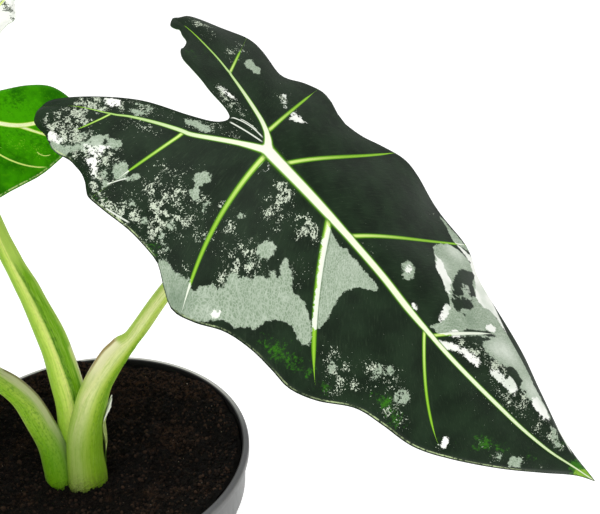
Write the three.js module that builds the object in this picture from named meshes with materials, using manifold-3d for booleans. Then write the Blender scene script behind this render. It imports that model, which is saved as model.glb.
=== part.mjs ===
// Potted alocasia: three arrow-shaped leaves on sheathing stalks, rooted in a nursery pot of peat.
// Millimetres, +Z up, origin at the centre of the face the pot stands on.
import * as THREE from 'three';
import { mergeVertices } from 'three/addons/utils/BufferGeometryUtils.js';
import Module from 'manifold-3d';

const wasm = await Module();
wasm.setup();

// ---- driving dimensions -------------------------------------------------------------------------

const gap = 0.35; // kept between pieces that touch on the real plant
const pot = { height: 105, rim: 60, lip: 3.6, wallTop: 58.6, wallFoot: 44, foot: 43, wall: 1.2 };
const collar = { foot: 86, radius: 58 }; // the upright band under the rim
const potFloor = { under: 2.5, top: 3.8, disc: 14, ring: 38 };
const drain = { count: 8, radius: 4, circle: 27 };
const soil = { level: 99.5, edge: 99, roll: 1.5, crumb: 0.7, rise: 3.6, riseFrom: 30, backRise: 1.5 };
const round = 48; // facets round the pot and the soil
const corm = { x: -5, y: -11, top: 84, height: 26, radius: 11 };
const roots = { count: 7, length: 30, radius: 1.2 };
const blade = { thickness: 0.8, ribWidth: 2.2, ribCrest: 0.5, ribKeel: 1.5 };
const vein = { width: 1.7, crest: 0.35, keel: 0.6 };
const quilt = 1.6; // how far the panels between the main veins stand up
const ridge = 10; // radius over which a blade rounds over its midrib

// Each outline is given in the leaf's own plane: a runs from the hub, where the stalk joins, to the
// tip, and b to the right of the midrib. Each main vein is [where along its rib it starts, counted
// back from the hub on a lobe's rib, where at the margin it ends, how far it bows].
const frontLeaf = {
  name: 'blade_front',
  hub: [70, -24, 239],
  runs: [0.705, -0.349, -0.618],
  faces: [0.279, -0.664, 0.693],
  length: 138,
  bulge: 9, bow: -8, lobeDroop: 0.0022, fallLeft: 25, fallRight: 32, twist: 0.1, wave: 0.8,
  leftSide: [
    [-63, -29], [-61, -34], [-55, -35.5], [-50, -37.3], [-45, -37], [-40, -37], [-34, -39], [-29, -42],
    [-22, -42.5], [-11, -42],
    [0, -43.7], [8, -47], [14, -48.4], [21, -45.5], [29, -41], [38, -39], [47, -38.3], [54, -38], [62, -35],
    [71, -29.5], [80, -27.5], [91, -26], [101, -22], [114, -15], [125, -8], [133, -2.7], [138, 0],
  ],
  rightSide: [
    [-60, 28], [-57, 33], [-48, 38], [-40, 41.6], [-35, 41.5], [-29, 39], [-20, 34.7], [-16, 34.8],
    [-11.5, 39], [-5, 40.8], [2, 38], [8, 37], [15, 41], [22, 47], [30, 51], [38, 51], [46, 49.5],
    [56, 47], [67, 44], [75, 37], [83, 33], [92, 28], [101, 22], [110, 13.5], [120, 6], [130, 2],
    [138, 0],
  ],
  sinus: [
    [-63, -29], [-62, -25], [-53, -18], [-40, -11], [-26, -6], [-18, -3], [-15.5, 1], [-19, 4],
    [-27, 5], [-37, 9], [-45, 13], [-47, 18], [-52, 23], [-56, 24], [-60, 28],
  ],
  leftRib: [[0, 0], [-10, -5.2], [-20, -10.4], [-24, -11.4], [-42, -18.2], [-63, -29]],
  rightRib: [[0, 0], [-5, 5.5], [-20, 14], [-42, 23.5], [-60, 28]],
  leftVeins: [
    [-47, [-51, -38], 0], [-25, [-28, -42], 0], [0, [17, -47], -0.085], [27, [62, -35], -0.06],
    [69, [100, -22], -0.07],
  ],
  rightVeins: [
    [-33, [-37, 41], 0], [-7, [-6, 40], 0], [6, [27.5, 50], -0.01], [35, [66, 44], 0.02],
    [72, [95, 26], 0],
  ],
};

const greenLeaf = {
  name: 'blade_green',
  hub: [-36.5, 12, 238],
  runs: [-0.722, -0.573, -0.389],
  faces: [0.165, -0.688, 0.707],
  length: 100,
  bulge: 6, bow: 0, lobeDroop: 0.002, fallLeft: 16, fallRight: 16, twist: 0, wave: 0.6,
  leftSide: [
    [-53, -36], [-50, -41], [-40, -43], [-28, -41], [-14, -39], [0, -38], [15, -36], [32, -31],
    [50, -24], [68, -15], [84, -7], [95, -2], [100, 0],
  ],
  rightSide: [
    [-36, 20], [-34, 26], [-29, 29], [-20, 31.5], [-10, 33], [0, 33], [12, 32], [28, 29], [46, 23],
    [65, 15], [82, 7], [95, 2], [100, 0],
  ],
  sinus: [
    [-53, -36], [-51, -29], [-45, -23], [-36, -17.5], [-24, -12], [-14, -5], [-12, 0], [-18.5, 2],
    [-27, 5], [-33.5, 9], [-36, 15], [-36, 20],
  ],
  leftRib: [[0, 0], [-8, -8], [-24, -20], [-40, -30], [-53, -36]],
  rightRib: [[0, 0], [-10, 12], [-20, 17.5], [-36, 20]],
  leftVeins: [[-30, [-28, -41], 0], [0, [8, -37], -0.05], [22, [42, -27], -0.05], [50, [72, -13], -0.05]],
  rightVeins: [[-21, [-27, 30], 0], [0, [-13, 33], -0.06], [8, [24, 30], 0.04], [36, [58, 18], 0.05]],
};

const lowLeaf = {
  name: 'blade_low',
  hub: [-78, -16, 187],
  runs: [-0.67, -0.36, -0.65],
  faces: [-0.5, -0.35, 0.79],
  length: 110,
  bulge: 9, bow: 0, lobeDroop: 0.002, fallLeft: 22, fallRight: 22, twist: 0, wave: 1,
  leftSide: [
    [-49, -28], [-45, -36], [-34, -40], [-18, -38], [0, -38], [16, -39], [34, -35], [54, -27],
    [74, -18], [92, -9], [104, -3], [110, 0],
  ],
  rightSide: [
    [-40, 27], [-36, 34], [-28, 38], [-16, 39], [0, 38], [16, 40], [33, 36], [54, 28],
    [74, 18], [92, 9], [104, 3], [110, 0],
  ],
  sinus: [
    [-49, -28], [-45, -19], [-32, -10], [-17, -4], [-12, 0], [-17, 4], [-28, 10], [-37, 19], [-40, 27],
  ],
  leftRib: [[0, 0], [-8, -7], [-22, -15], [-49, -28]],
  rightRib: [[0, 0], [-8, 7], [-22, 15], [-40, 27]],
  leftVeins: [[-26, [-22, -39], 0], [0, [14, -39], -0.05], [24, [46, -30], -0.05], [54, [78, -16], -0.05]],
  rightVeins: [[-24, [-20, 39], 0], [0, [14, 39], 0.05], [24, [46, 31], 0.05], [54, [78, 16], 0.05]],
};

// Each stalk: points from its seat on the corm to its leaf's hub, then stations along it as
// [share of length, half width, half depth, reach of the sheath's free edge].
const stalks = [
  {
    name: 'stalk_front',
    leaf: frontLeaf,
    points: [
      [-1, -15, 84], [0, -14, 101], [0, -10.5, 117], [4, -7.5, 133], [8, -6.5, 142], [14.5, -6, 152],
      [22.5, -6.5, 163], [31.5, -8, 177], [44.5, -12, 196], [58.5, -16.5, 218],
    ],
    wide: [1, 0.25, 0], sheathSide: -1,
    sections: [
      [0, 6, 4.5, 0], [0.09, 7.3, 5, 0], [0.18, 6.5, 4.6, 0.3], [0.27, 5.4, 4.2, 0.8],
      [0.34, 4.4, 3.8, 1.6], [0.4, 3.9, 3.4, 2.4], [0.44, 3.4, 3.2, 2], [0.46, 3, 2.9, 0],
      [0.7, 2.6, 2.6, 0], [1, 2.3, 2.3, 0],
    ],
  },
  {
    name: 'stalk_back',
    leaf: greenLeaf,
    points: [
      [-6.5, -7, 84], [-5.5, -7, 100], [-5, -5, 113], [-5.7, -2.5, 129], [-9.4, 0, 149],
      [-15.9, 3, 170], [-22.2, 5, 187], [-30, 8.5, 212],
    ],
    wide: [1, 0.1, 0], sheathSide: 1,
    sections: [
      [0, 5.5, 3.6, 0], [0.1, 6.8, 4.2, 0], [0.3, 5.7, 3.9, 0.5], [0.43, 4.7, 3.5, 1.4],
      [0.56, 3.9, 3.3, 0.7], [0.64, 3.4, 3.1, 0.2], [0.7, 3.1, 2.9, 0], [1, 2.4, 2.4, 0],
    ],
  },
  {
    name: 'stalk_low',
    leaf: lowLeaf,
    points: [
      [-9, -14, 84], [-10.5, -13, 99], [-13, -9.5, 112], [-16.5, -7.5, 120], [-22, -5.5, 131],
      [-30, -5.5, 141], [-43, -7, 155], [-60, -11, 171],
    ],
    wide: [1, 0.3, 0.6], sheathSide: 1,
    sections: [
      [0, 4.4, 3.6, 0], [0.13, 5.4, 4, 0], [0.3, 4.6, 3.7, 1], [0.44, 3.8, 3.4, 1.4],
      [0.54, 3.3, 3, 0], [0.8, 2.8, 2.7, 0], [1, 2.3, 2.3, 0],
    ],
  },
];

// The dry scrap of an older leaf's sheath, which clasps the front stalk's right side: the share of
// the stalk and the turn round it over which it runs.
const scrap = { thickness: 0.7, foot: 0.06, top: 0.3, from: -20, to: 50, lean: 0.8 };

// ---- solids and meshes --------------------------------------------------------------------------

function toSolid(geometry) {
  const bare = geometry.clone();
  bare.deleteAttribute('normal');
  bare.deleteAttribute('uv');
  const welded = mergeVertices(bare, 1e-4);
  const corners = Array.from(welded.index.array);
  const triVerts = [];
  for (let i = 0; i < corners.length; i += 3) {
    const [p, q, r] = corners.slice(i, i + 3);
    if (p !== q && q !== r && r !== p) triVerts.push(p, q, r);
  }
  return new wasm.Manifold(new wasm.Mesh({
    numProp: 3,
    vertProperties: new Float32Array(welded.attributes.position.array),
    triVerts: new Uint32Array(triVerts),
  }));
}

function toGeometry(solid) {
  const { vertProperties, triVerts } = solid.getMesh();
  const geometry = new THREE.BufferGeometry();
  geometry.setAttribute('position', new THREE.BufferAttribute(new Float32Array(vertProperties), 3));
  geometry.setIndex(new THREE.BufferAttribute(new Uint32Array(triVerts), 1));
  return geometry;
}

function largestPiece(solid) {
  return solid.decompose().sort((p, q) => q.volume() - p.volume())[0];
}

function fromTriangles(points, corners) {
  const geometry = new THREE.BufferGeometry();
  geometry.setAttribute('position', new THREE.Float32BufferAttribute(points.flatMap((p) => p.toArray()), 3));
  geometry.setIndex(corners);
  return geometry;
}

// ---- pot and soil -------------------------------------------------------------------------------

function innerRadius(z) {
  const share = (z - potFloor.top) / (pot.height - pot.lip - potFloor.top);
  return THREE.MathUtils.lerp(pot.wallFoot - pot.wall, pot.wallTop - pot.wall, Math.min(share, 1));
}

function makePot() {
  const lipFoot = pot.height - pot.lip;
  const inner = innerRadius(pot.height);
  const wallUnderCollar = innerRadius(collar.foot) + pot.wall;
  const profile = [
    [0, 0], [potFloor.disc, 0], [potFloor.disc + 2, potFloor.under], [potFloor.ring - 1, potFloor.under],
    [potFloor.ring, 0], [pot.foot, 0], [pot.wallFoot, 1.2], [wallUnderCollar, collar.foot],
    [collar.radius, collar.foot + 0.4], [pot.wallTop, lipFoot],
    [pot.rim - 0.6, lipFoot], [pot.rim, lipFoot + 0.6], [pot.rim, pot.height - 0.7],
    [pot.rim - 0.7, pot.height], [inner + 0.7, pot.height], [inner, pot.height - 0.7],
    [innerRadius(lipFoot), lipFoot], [innerRadius(potFloor.top), potFloor.top], [0, potFloor.top],
  ];
  const turned = new THREE.LatheGeometry(profile.map((p) => new THREE.Vector2(...p)), round);
  let solid = toSolid(turned.rotateX(Math.PI / 2));
  for (let i = 0; i < drain.count; i += 1) {
    const angle = ((i + 0.5) / drain.count) * Math.PI * 2;
    const hole = new THREE.CylinderGeometry(drain.radius, drain.radius, 12, 12).rotateX(Math.PI / 2);
    hole.translate(drain.circle * Math.cos(angle), drain.circle * Math.sin(angle), potFloor.top);
    solid = solid.subtract(toSolid(hole));
  }
  return solid;
}

// Height of the peat at a place: shallow rolls that rise to the pot's wall, most at the back, with
// crumbs on them.
function soilHeight(x, y) {
  const toWall = THREE.MathUtils.smoothstep(Math.hypot(x, y), soil.riseFrom, innerRadius(soil.edge));
  const toBack = THREE.MathUtils.smoothstep(y, 5, innerRadius(soil.edge));
  const rolls = soil.rise * toWall + soil.backRise * toBack + soil.roll * Math.sin(x / 13 + 0.6) * Math.cos(y / 15 - 0.4);
  return rolls + soil.crumb * Math.sin(x / 3.7 + y / 6.1) * Math.cos(y / 4.3 - x / 7.9);
}

function makeSoil() {
  const rings = [47, 39, 31, 23, 14];
  const bottom = potFloor.top + gap;
  const profile = [
    [0, bottom], [innerRadius(bottom) - gap, bottom], [innerRadius(soil.edge) - gap, soil.edge],
    ...rings.map((r) => [r, soil.level]), [0, soil.level],
  ];
  const turned = new THREE.LatheGeometry(profile.map((p) => new THREE.Vector2(...p)), round);
  turned.rotateX(Math.PI / 2);
  const place = turned.attributes.position;
  for (let i = 0; i < place.count; i += 1) {
    if (place.getZ(i) > soil.edge - 1) {
      const fade = place.getZ(i) > soil.edge + 0.1 ? 1 : 0.5;
      place.setZ(i, place.getZ(i) + fade * soilHeight(place.getX(i), place.getY(i)));
    }
  }
  return toSolid(turned);
}

// ---- corm and roots -----------------------------------------------------------------------------

function makeCorm(grow) {
  const profile = [];
  const steps = 6;
  for (let i = 0; i <= steps; i += 1) {
    const turn = (i / steps) * Math.PI;
    const swell = 1 + 0.12 * Math.cos(turn * 2) - 0.18 * Math.cos(turn);
    const z = corm.top - corm.height / 2 - (corm.height / 2 + grow) * Math.cos(turn);
    profile.push(new THREE.Vector2(i % steps ? (corm.radius * swell + grow) * Math.sin(turn) : 0, z));
  }
  const body = new THREE.LatheGeometry(profile, 16).rotateX(Math.PI / 2);
  let solid = toSolid(body.translate(corm.x, corm.y, 0));
  for (let i = 0; i < roots.count; i += 1) {
    const angle = i * 2.4;
    const out = new THREE.Vector3(Math.cos(angle), Math.sin(angle), 0);
    const start = new THREE.Vector3(corm.x, corm.y, corm.top - corm.height * 0.72).addScaledVector(out, 4);
    const bend = start.clone().addScaledVector(out, roots.length * 0.5).setZ(start.z - 6);
    const end = start.clone().addScaledVector(out, roots.length * 0.8).setZ(start.z - roots.length);
    end.add(end.clone().sub(bend).setLength(grow));
    const path = new THREE.CatmullRomCurve3([start, bend, end]);
    const section = new THREE.Shape().absarc(0, 0, roots.radius + 1.5 * grow, 0, Math.PI * 2);
    const root = new THREE.ExtrudeGeometry(section, { steps: 5, curveSegments: 3, extrudePath: path });
    solid = solid.add(toSolid(root));
  }
  return solid;
}

// ---- stalks -------------------------------------------------------------------------------------

function stalkPath(stalk) {
  const hub = new THREE.Vector3(...stalk.leaf.hub);
  const under = new THREE.Vector3(...stalk.leaf.faces).normalize();
  const points = stalk.points.map((p) => new THREE.Vector3(...p));
  points.push(hub.clone().addScaledVector(under, -7).lerp(points.at(-1), 0.12));
  points.push(hub.clone().addScaledVector(under, -0.2));
  return new THREE.CatmullRomCurve3(points, false, 'centripetal');
}

function sectionAt(sections, share) {
  const next = Math.max(1, sections.findIndex((s) => s[0] >= share));
  const [from, to] = [sections[next - 1], sections[next]];
  const blend = THREE.MathUtils.smoothstep(share, from[0], to[0]);
  return from.map((value, k) => THREE.MathUtils.lerp(value, to[k], blend));
}

// A place on a stalk's skin, or so far off it: the section is an oval with the sheath's edge on it.
function stalkSpot(stalk, path, share, turn, off) {
  const along = path.getTangentAt(share);
  const wide = new THREE.Vector3(...stalk.wide);
  wide.addScaledVector(along, -wide.dot(along)).normalize();
  const deep = along.clone().cross(wide);
  const [, halfWidth, halfDepth, sheath] = sectionAt(stalk.sections, share);
  const edge = Math.max(0, stalk.sheathSide * Math.cos(turn)) ** 3;
  const across = (halfWidth + off) * Math.cos(turn) + stalk.sheathSide * sheath * edge;
  return path.getPointAt(share).addScaledVector(wide, across)
    .addScaledVector(deep, (halfDepth + off) * Math.sin(turn));
}

function makeStalk(stalk, grow) {
  const sides = 14;
  const steps = 22;
  const path = stalkPath(stalk);
  const marked = stalk.sections.map((section) => section[0]);
  for (let i = 1; i < steps; i += 1) marked.push(i / steps);
  marked.sort((p, q) => p - q);
  const shares = marked.filter((share, i) => i === 0 || share - marked[i - 1] > 0.008);
  const points = [];
  const corners = [];
  shares.forEach((share, row) => {
    for (let k = 0; k < sides; k += 1) {
      const spot = stalkSpot(stalk, path, share, (k / sides) * Math.PI * 2, grow);
      points.push(row === 0 ? spot.setZ(spot.z - grow) : spot);
      if (row > 0) {
        const here = row * sides + k;
        const beside = row * sides + ((k + 1) % sides);
        corners.push(here - sides, beside - sides, beside, here - sides, beside, here);
      }
    }
  });
  const last = (shares.length - 1) * sides;
  for (let k = 1; k < sides - 1; k += 1) {
    corners.push(0, k + 1, k, last, last + k, last + k + 1);
  }
  return toSolid(fromTriangles(points, corners));
}

function makeScrap(grow) {
  const steps = 6;
  const rows = 7;
  const [host] = stalks;
  const path = stalkPath(host);
  const points = [];
  const corners = [];
  for (const off of [gap + 0.1 - grow, gap + 0.1 + scrap.thickness + grow]) {
    for (let row = 0; row <= rows; row += 1) {
      for (let i = 0; i <= steps; i += 1) {
        const across = i / steps;
        const tall = scrap.top - 0.16 * (across - 0.45) ** 2 + grow / 150;
        const share = THREE.MathUtils.lerp(scrap.foot - grow / 150, tall, row / rows);
        const turn = THREE.MathUtils.degToRad(THREE.MathUtils.lerp(scrap.from, scrap.to, across))
          + (grow / 6) * Math.sign(across - 0.5);
        points.push(stalkSpot(host, path, share, turn, off + scrap.lean * (row / rows) ** 2));
      }
    }
  }
  const half = (steps + 1) * (rows + 1);
  const at = (side, row, i) => side * half + row * (steps + 1) + i;
  const quad = (p, q, r, s) => corners.push(p, q, r, p, r, s);
  for (let row = 0; row < rows; row += 1) {
    for (let i = 0; i < steps; i += 1) {
      quad(at(1, row, i), at(1, row, i + 1), at(1, row + 1, i + 1), at(1, row + 1, i));
      quad(at(0, row, i), at(0, row + 1, i), at(0, row + 1, i + 1), at(0, row, i + 1));
    }
    quad(at(0, row, 0), at(1, row, 0), at(1, row + 1, 0), at(0, row + 1, 0));
    quad(at(0, row, steps), at(0, row + 1, steps), at(1, row + 1, steps), at(1, row, steps));
  }
  for (let i = 0; i < steps; i += 1) {
    quad(at(0, 0, i), at(0, 0, i + 1), at(1, 0, i + 1), at(1, 0, i));
    quad(at(0, rows, i), at(1, rows, i), at(1, rows, i + 1), at(0, rows, i + 1));
  }
  return toSolid(fromTriangles(points, corners));
}

// ---- leaf blades --------------------------------------------------------------------------------

// A blade's own axes: along its midrib, across it, and out of its upper face.
function bladeFrame(leaf) {
  const along = new THREE.Vector3(...leaf.runs).normalize();
  const out = new THREE.Vector3(...leaf.faces);
  out.addScaledVector(along, -out.dot(along)).normalize();
  return { hub: new THREE.Vector3(...leaf.hub), along, out, across: out.clone().cross(along) };
}

// The middle of the blade's thickness over the flat place (a, b).
function bladePoint(leaf, frame, a, b) {
  const share = a / leaf.length;
  const arch = a > 0 ? 4 * share * (1 - share) : 0;
  const rise = a > 0 ? leaf.bulge * arch : 4 * leaf.bulge * share - leaf.lobeDroop * a * a;
  const steepness = b < 0 ? leaf.fallLeft : leaf.fallRight + leaf.twist * Math.max(a, 0);
  const fall = Math.tan(THREE.MathUtils.degToRad(steepness)) * (Math.hypot(b, ridge) - ridge);
  const wave = leaf.wave * (b / 40) ** 2 * Math.sin(a / 5 + (b > 0 ? 1 : 0));
  return frame.hub.clone()
    .addScaledVector(frame.along, a)
    .addScaledVector(frame.across, b + leaf.bow * arch)
    .addScaledVector(frame.out, rise - fall + wave);
}

function bladeNormal(leaf, frame, a, b) {
  const step = 0.5;
  const alongStep = bladePoint(leaf, frame, a + step, b).sub(bladePoint(leaf, frame, a - step, b));
  const acrossStep = bladePoint(leaf, frame, a, b + step).sub(bladePoint(leaf, frame, a, b - step));
  return alongStep.cross(acrossStep).normalize();
}

const flatCurve = (points) => new THREE.SplineCurve(points.map((p) => new THREE.Vector2(...p)));

// Where on an outline, as a share of its length, the point nearest to a given place lies.
function nearestShare(outline, place) {
  const target = new THREE.Vector2(...place);
  let best = 0;
  for (let i = 0; i <= 400; i += 1) {
    const closer = outline.getPointAt(i / 400).distanceTo(target) < outline.getPointAt(best).distanceTo(target);
    if (closer) best = i / 400;
  }
  return best;
}

// Straight steps between listed pairs: [[from, to], ...] sorted by from.
function between(pairs, value) {
  const next = Math.max(1, pairs.findIndex((pair) => pair[0] >= value));
  const [low, high] = [pairs[next - 1], pairs[next]];
  return low[1] + ((high[1] - low[1]) * (value - low[0])) / (high[0] - low[0]);
}

// Distances from the hub at which rays leave a rib: at each vein and its two feet, then evenly.
function ribStations(length, veins) {
  const marked = [0, length];
  for (const start of veins) {
    for (const foot of [-vein.width, 0, vein.width]) {
      if (start + foot > 0.5) marked.push(start + foot);
    }
  }
  marked.sort((p, q) => p - q);
  const stations = [0];
  for (const mark of marked.slice(1)) {
    const last = stations.at(-1);
    const parts = Math.max(1, Math.round((mark - last) / 9));
    if (mark - last > 0.4) {
      for (let i = 1; i <= parts; i += 1) stations.push(last + ((mark - last) * i) / parts);
    }
  }
  return stations;
}

// A blade is three fans of rays that share their ribs: from the left lobe's rib and the midrib to
// the left margin, the same on the right, and from the two lobe ribs to the notch between them.
function makeBlade(leaf, grow) {
  const frame = bladeFrame(leaf);
  const midrib = new THREE.LineCurve(new THREE.Vector2(0, 0), new THREE.Vector2(leaf.length, 0));
  const ribs = { left: flatCurve(leaf.leftRib), right: flatCurve(leaf.rightRib), mid: midrib };
  const onRib = (starts, sign) => starts.map(([start]) => start * sign).filter((start) => start >= 0);
  const stations = {
    left: ribStations(ribs.left.getLength(), onRib(leaf.leftVeins, -1)),
    right: ribStations(ribs.right.getLength(), onRib(leaf.rightVeins, -1)),
    mid: ribStations(leaf.length, [...onRib(leaf.leftVeins, 1), ...onRib(leaf.rightVeins, 1)]),
  };
  const fans = [
    { first: 'left', second: 'mid', outline: leaf.leftSide, veins: leaf.leftVeins, turned: true },
    { first: 'right', second: 'mid', outline: leaf.rightSide, veins: leaf.rightVeins, turned: false },
    { first: 'left', second: 'right', outline: leaf.sinus, veins: [], turned: false },
  ];
  const points = [];
  const corners = [];
  const lay = (p, q, r, turned) => corners.push(...(turned ? [p, r, q] : [p, q, r]));
  for (const fan of fans) {
    const rays = fanRays(leaf, frame, fan, ribs, stations);
    const rings = rays[0].length;
    const start = points.length;
    for (const ray of rays) {
      for (const spot of ray) {
        const middle = bladePoint(leaf, frame, spot.a, spot.b);
        const out = bladeNormal(leaf, frame, spot.a, spot.b);
        const half = blade.thickness / 2 + grow;
        points.push(middle.clone().addScaledVector(out, half + spot.crest + spot.swell));
        points.push(middle.clone().addScaledVector(out, spot.swell - spot.keel - half));
      }
    }
    const at = (ray, ring, face) => start + (ray * rings + ring) * 2 + face;
    for (let ray = 1; ray < rays.length; ray += 1) {
      for (let ring = 1; ring < rings; ring += 1) {
        for (const face of [0, 1]) {
          const flip = fan.turned !== (face === 1);
          lay(at(ray - 1, ring - 1, face), at(ray, ring - 1, face), at(ray, ring, face), flip);
          lay(at(ray - 1, ring - 1, face), at(ray, ring, face), at(ray - 1, ring, face), flip);
        }
      }
      const edge = rings - 1;
      lay(at(ray - 1, edge, 0), at(ray, edge, 0), at(ray, edge, 1), fan.turned);
      lay(at(ray - 1, edge, 0), at(ray, edge, 1), at(ray - 1, edge, 1), fan.turned);
    }
  }
  return toSolid(fromTriangles(points, corners));
}

// The rays of one fan, each a row of spots from its rib to the margin.
function fanRays(leaf, frame, fan, ribs, stations) {
  const outline = flatCurve(fan.outline);
  const lengths = { first: ribs[fan.first].getLength(), second: ribs[fan.second].getLength() };
  const starts = [
    ...stations[fan.first].slice(1).reverse().map((distance) => -distance),
    ...stations[fan.second],
  ];
  const ends = [[-lengths.first, 0]];
  for (const [start, place] of fan.veins) {
    const share = nearestShare(outline, place);
    ends.push([start - vein.width, share - 0.008], [start, share], [start + vein.width, share + 0.008]);
  }
  ends.push([lengths.second, 1]);
  const bows = [[-lengths.first, 0], ...fan.veins.map(([start, , bow]) => [start, bow]), [lengths.second, 0]];
  const veinStarts = [-lengths.first, ...fan.veins.map((v) => v[0]), lengths.second];
  const rings = [0.2, 0.4, 0.6, 0.8, 0.93, 1];
  return starts.map((start) => {
    const rib = start < 0 ? ribs[fan.first] : ribs[fan.second];
    const ribLength = start < 0 ? lengths.first : lengths.second;
    const ribShare = Math.min(1, Math.abs(start) / ribLength);
    const root = rib.getPointAt(ribShare);
    const end = outline.getPointAt(THREE.MathUtils.clamp(between(ends, start), 0, 1));
    const reach = end.distanceTo(root);
    const side = end.clone().sub(root).rotateAround(new THREE.Vector2(), Math.PI / 2);
    const onVein = fan.veins.some((v) => Math.abs(v[0] - start) < 0.3) ? 1 : 0;
    const panel = Math.max(1, veinStarts.findIndex((v) => v >= start - 1e-6));
    const inPanel = (start - veinStarts[panel - 1]) / (veinStarts[panel] - veinStarts[panel - 1]);
    const taper = 1 - ribShare;
    const foot = Math.min(0.12, (blade.ribWidth * (0.15 + 0.85 * taper)) / Math.max(reach, 1));
    const bow = between(bows, start);
    return [0, foot, ...rings].map((share, ring) => {
      const spot = root.clone().lerp(end, share).addScaledVector(side, bow * 4 * share * (1 - share));
      const fade = Math.min(1, reach / 6);
      const crest = vein.crest * fade * onVein * (1 - share);
      const keel = vein.keel * fade * onVein * (1 - share);
      return {
        a: spot.x,
        b: spot.y,
        crest: ring === 0 ? blade.ribCrest * taper : crest,
        keel: ring === 0 ? blade.ribKeel * taper : keel,
        swell: fan.veins.length ? quilt * fade * Math.sin(Math.PI * inPanel) * Math.sin(Math.PI * share) : 0,
      };
    });
  });
}

// ---- the plant ----------------------------------------------------------------------------------

const finish = (color, roughness) => new THREE.MeshStandardMaterial({ color, roughness, metalness: 0 });
const finishes = {
  pot: finish(0x8a8c8b, 0.4),
  soil: finish(0x21160f, 0.95),
  corm: finish(0x6f5a3c, 0.8),
  stalk: finish(0xa9c65a, 0.45),
  dark: finish(0x23402a, 0.5),
  bright: finish(0x3c8a12, 0.4),
  scrap: finish(0xb9b48a, 0.8),
};

const plant = new THREE.Group();

function addPiece(name, solid, material) {
  const mesh = new THREE.Mesh(toGeometry(solid), material);
  mesh.name = name;
  plant.add(mesh);
}

const cormSolid = makeCorm(0);
const cormHole = makeCorm(gap);
let ground = makeSoil().subtract(cormHole).subtract(makeScrap(gap));
const stalkHoles = [];
for (const stalk of stalks) {
  let solid = makeStalk(stalk, 0).subtract(makeBlade(stalk.leaf, gap)).subtract(cormHole);
  for (const hole of stalkHoles) solid = solid.subtract(hole);
  const hole = makeStalk(stalk, gap);
  ground = ground.subtract(hole);
  stalkHoles.push(hole);
  addPiece(stalk.name, largestPiece(solid), finishes.stalk);
}
let scrapSolid = makeScrap(0);
for (const hole of stalkHoles) scrapSolid = scrapSolid.subtract(hole);

addPiece('pot', makePot(), finishes.pot);
addPiece('soil', largestPiece(ground), finishes.soil);
addPiece('corm', cormSolid, finishes.corm);
addPiece('old_sheath', largestPiece(scrapSolid.subtract(cormHole)), finishes.scrap);
addPiece(frontLeaf.name, makeBlade(frontLeaf, 0), finishes.dark);
addPiece(greenLeaf.name, makeBlade(greenLeaf, 0), finishes.bright);
addPiece(lowLeaf.name, makeBlade(lowLeaf, 0), finishes.dark);

export default plant;
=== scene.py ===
import math

import bpy
import numpy as np
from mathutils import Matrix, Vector, noise


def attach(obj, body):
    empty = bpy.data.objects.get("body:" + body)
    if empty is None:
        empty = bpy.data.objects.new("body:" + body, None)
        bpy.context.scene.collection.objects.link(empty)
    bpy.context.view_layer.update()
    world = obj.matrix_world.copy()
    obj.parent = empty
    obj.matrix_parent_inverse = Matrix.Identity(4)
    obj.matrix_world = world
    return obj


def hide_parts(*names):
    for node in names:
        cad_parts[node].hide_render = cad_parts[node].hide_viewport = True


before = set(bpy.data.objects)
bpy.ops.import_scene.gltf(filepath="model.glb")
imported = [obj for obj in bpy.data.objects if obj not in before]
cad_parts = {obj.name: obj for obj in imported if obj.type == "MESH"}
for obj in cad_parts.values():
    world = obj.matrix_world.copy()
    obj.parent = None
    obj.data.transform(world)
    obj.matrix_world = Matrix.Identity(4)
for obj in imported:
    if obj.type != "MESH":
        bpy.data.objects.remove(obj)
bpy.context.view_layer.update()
mm = 0.001
print("frame loaded")


# small helpers for selecting, laying and finishing meshes

def selectOnly(*objects):
    bpy.ops.object.select_all(action="DESELECT")
    for piece in objects:
        piece.select_set(True)
    bpy.context.view_layer.objects.active = objects[0]


def nameIt(piece, name):
    piece.name = name
    piece.data.name = name
    return piece


def layGrid(name, columns, rows, places):
    # a grid of columns x rows corners, moved onto the given places
    bpy.ops.object.select_all(action="DESELECT")
    bpy.ops.mesh.primitive_grid_add(x_subdivisions=columns - 1, y_subdivisions=rows - 1, size=1)
    piece = nameIt(bpy.context.object, name)
    putVertices(piece, places)
    return piece


def putVertices(piece, places):
    piece.data.vertices.foreach_set("co", (np.asarray(places) * mm).astype(np.float32).ravel())
    piece.data.update()


def getVertices(piece):
    places = np.zeros(len(piece.data.vertices) * 3, np.float32)
    piece.data.vertices.foreach_get("co", places)
    return places.reshape(-1, 3).astype(float) / mm


def putAttribute(piece, name, values):
    kind = "FLOAT_VECTOR" if np.ndim(values) == 2 else "FLOAT"
    attribute = piece.data.attributes.get(name) or piece.data.attributes.new(name, kind, "POINT")
    field = "vector" if kind == "FLOAT_VECTOR" else "value"
    attribute.data.foreach_set(field, np.asarray(values, np.float32).ravel())


def getAttribute(piece, name):
    values = np.zeros(len(piece.data.vertices), np.float32)
    piece.data.attributes[name].data.foreach_get("value", values)
    return values.astype(float)


def editWhole(piece, *steps):
    # mesh operators with their settings, each run on the whole piece
    selectOnly(piece)
    bpy.ops.object.mode_set(mode="EDIT")
    for operator, settings in steps:
        bpy.ops.mesh.select_all(action="SELECT")
        operator(**settings)
    bpy.ops.object.mode_set(mode="OBJECT")


facingOut = (bpy.ops.mesh.normals_make_consistent, {"inside": False})


def weld(piece, distance, outward=True):
    steps = [(bpy.ops.mesh.remove_doubles, {"threshold": distance * mm}),
             (bpy.ops.mesh.dissolve_degenerate, {"threshold": distance * mm * 0.1})]
    if outward:
        steps.append(facingOut)
    editWhole(piece, *steps)


def closeHoles(piece):
    editWhole(piece, (bpy.ops.mesh.fill_holes, {"sides": 0}), facingOut)


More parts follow.
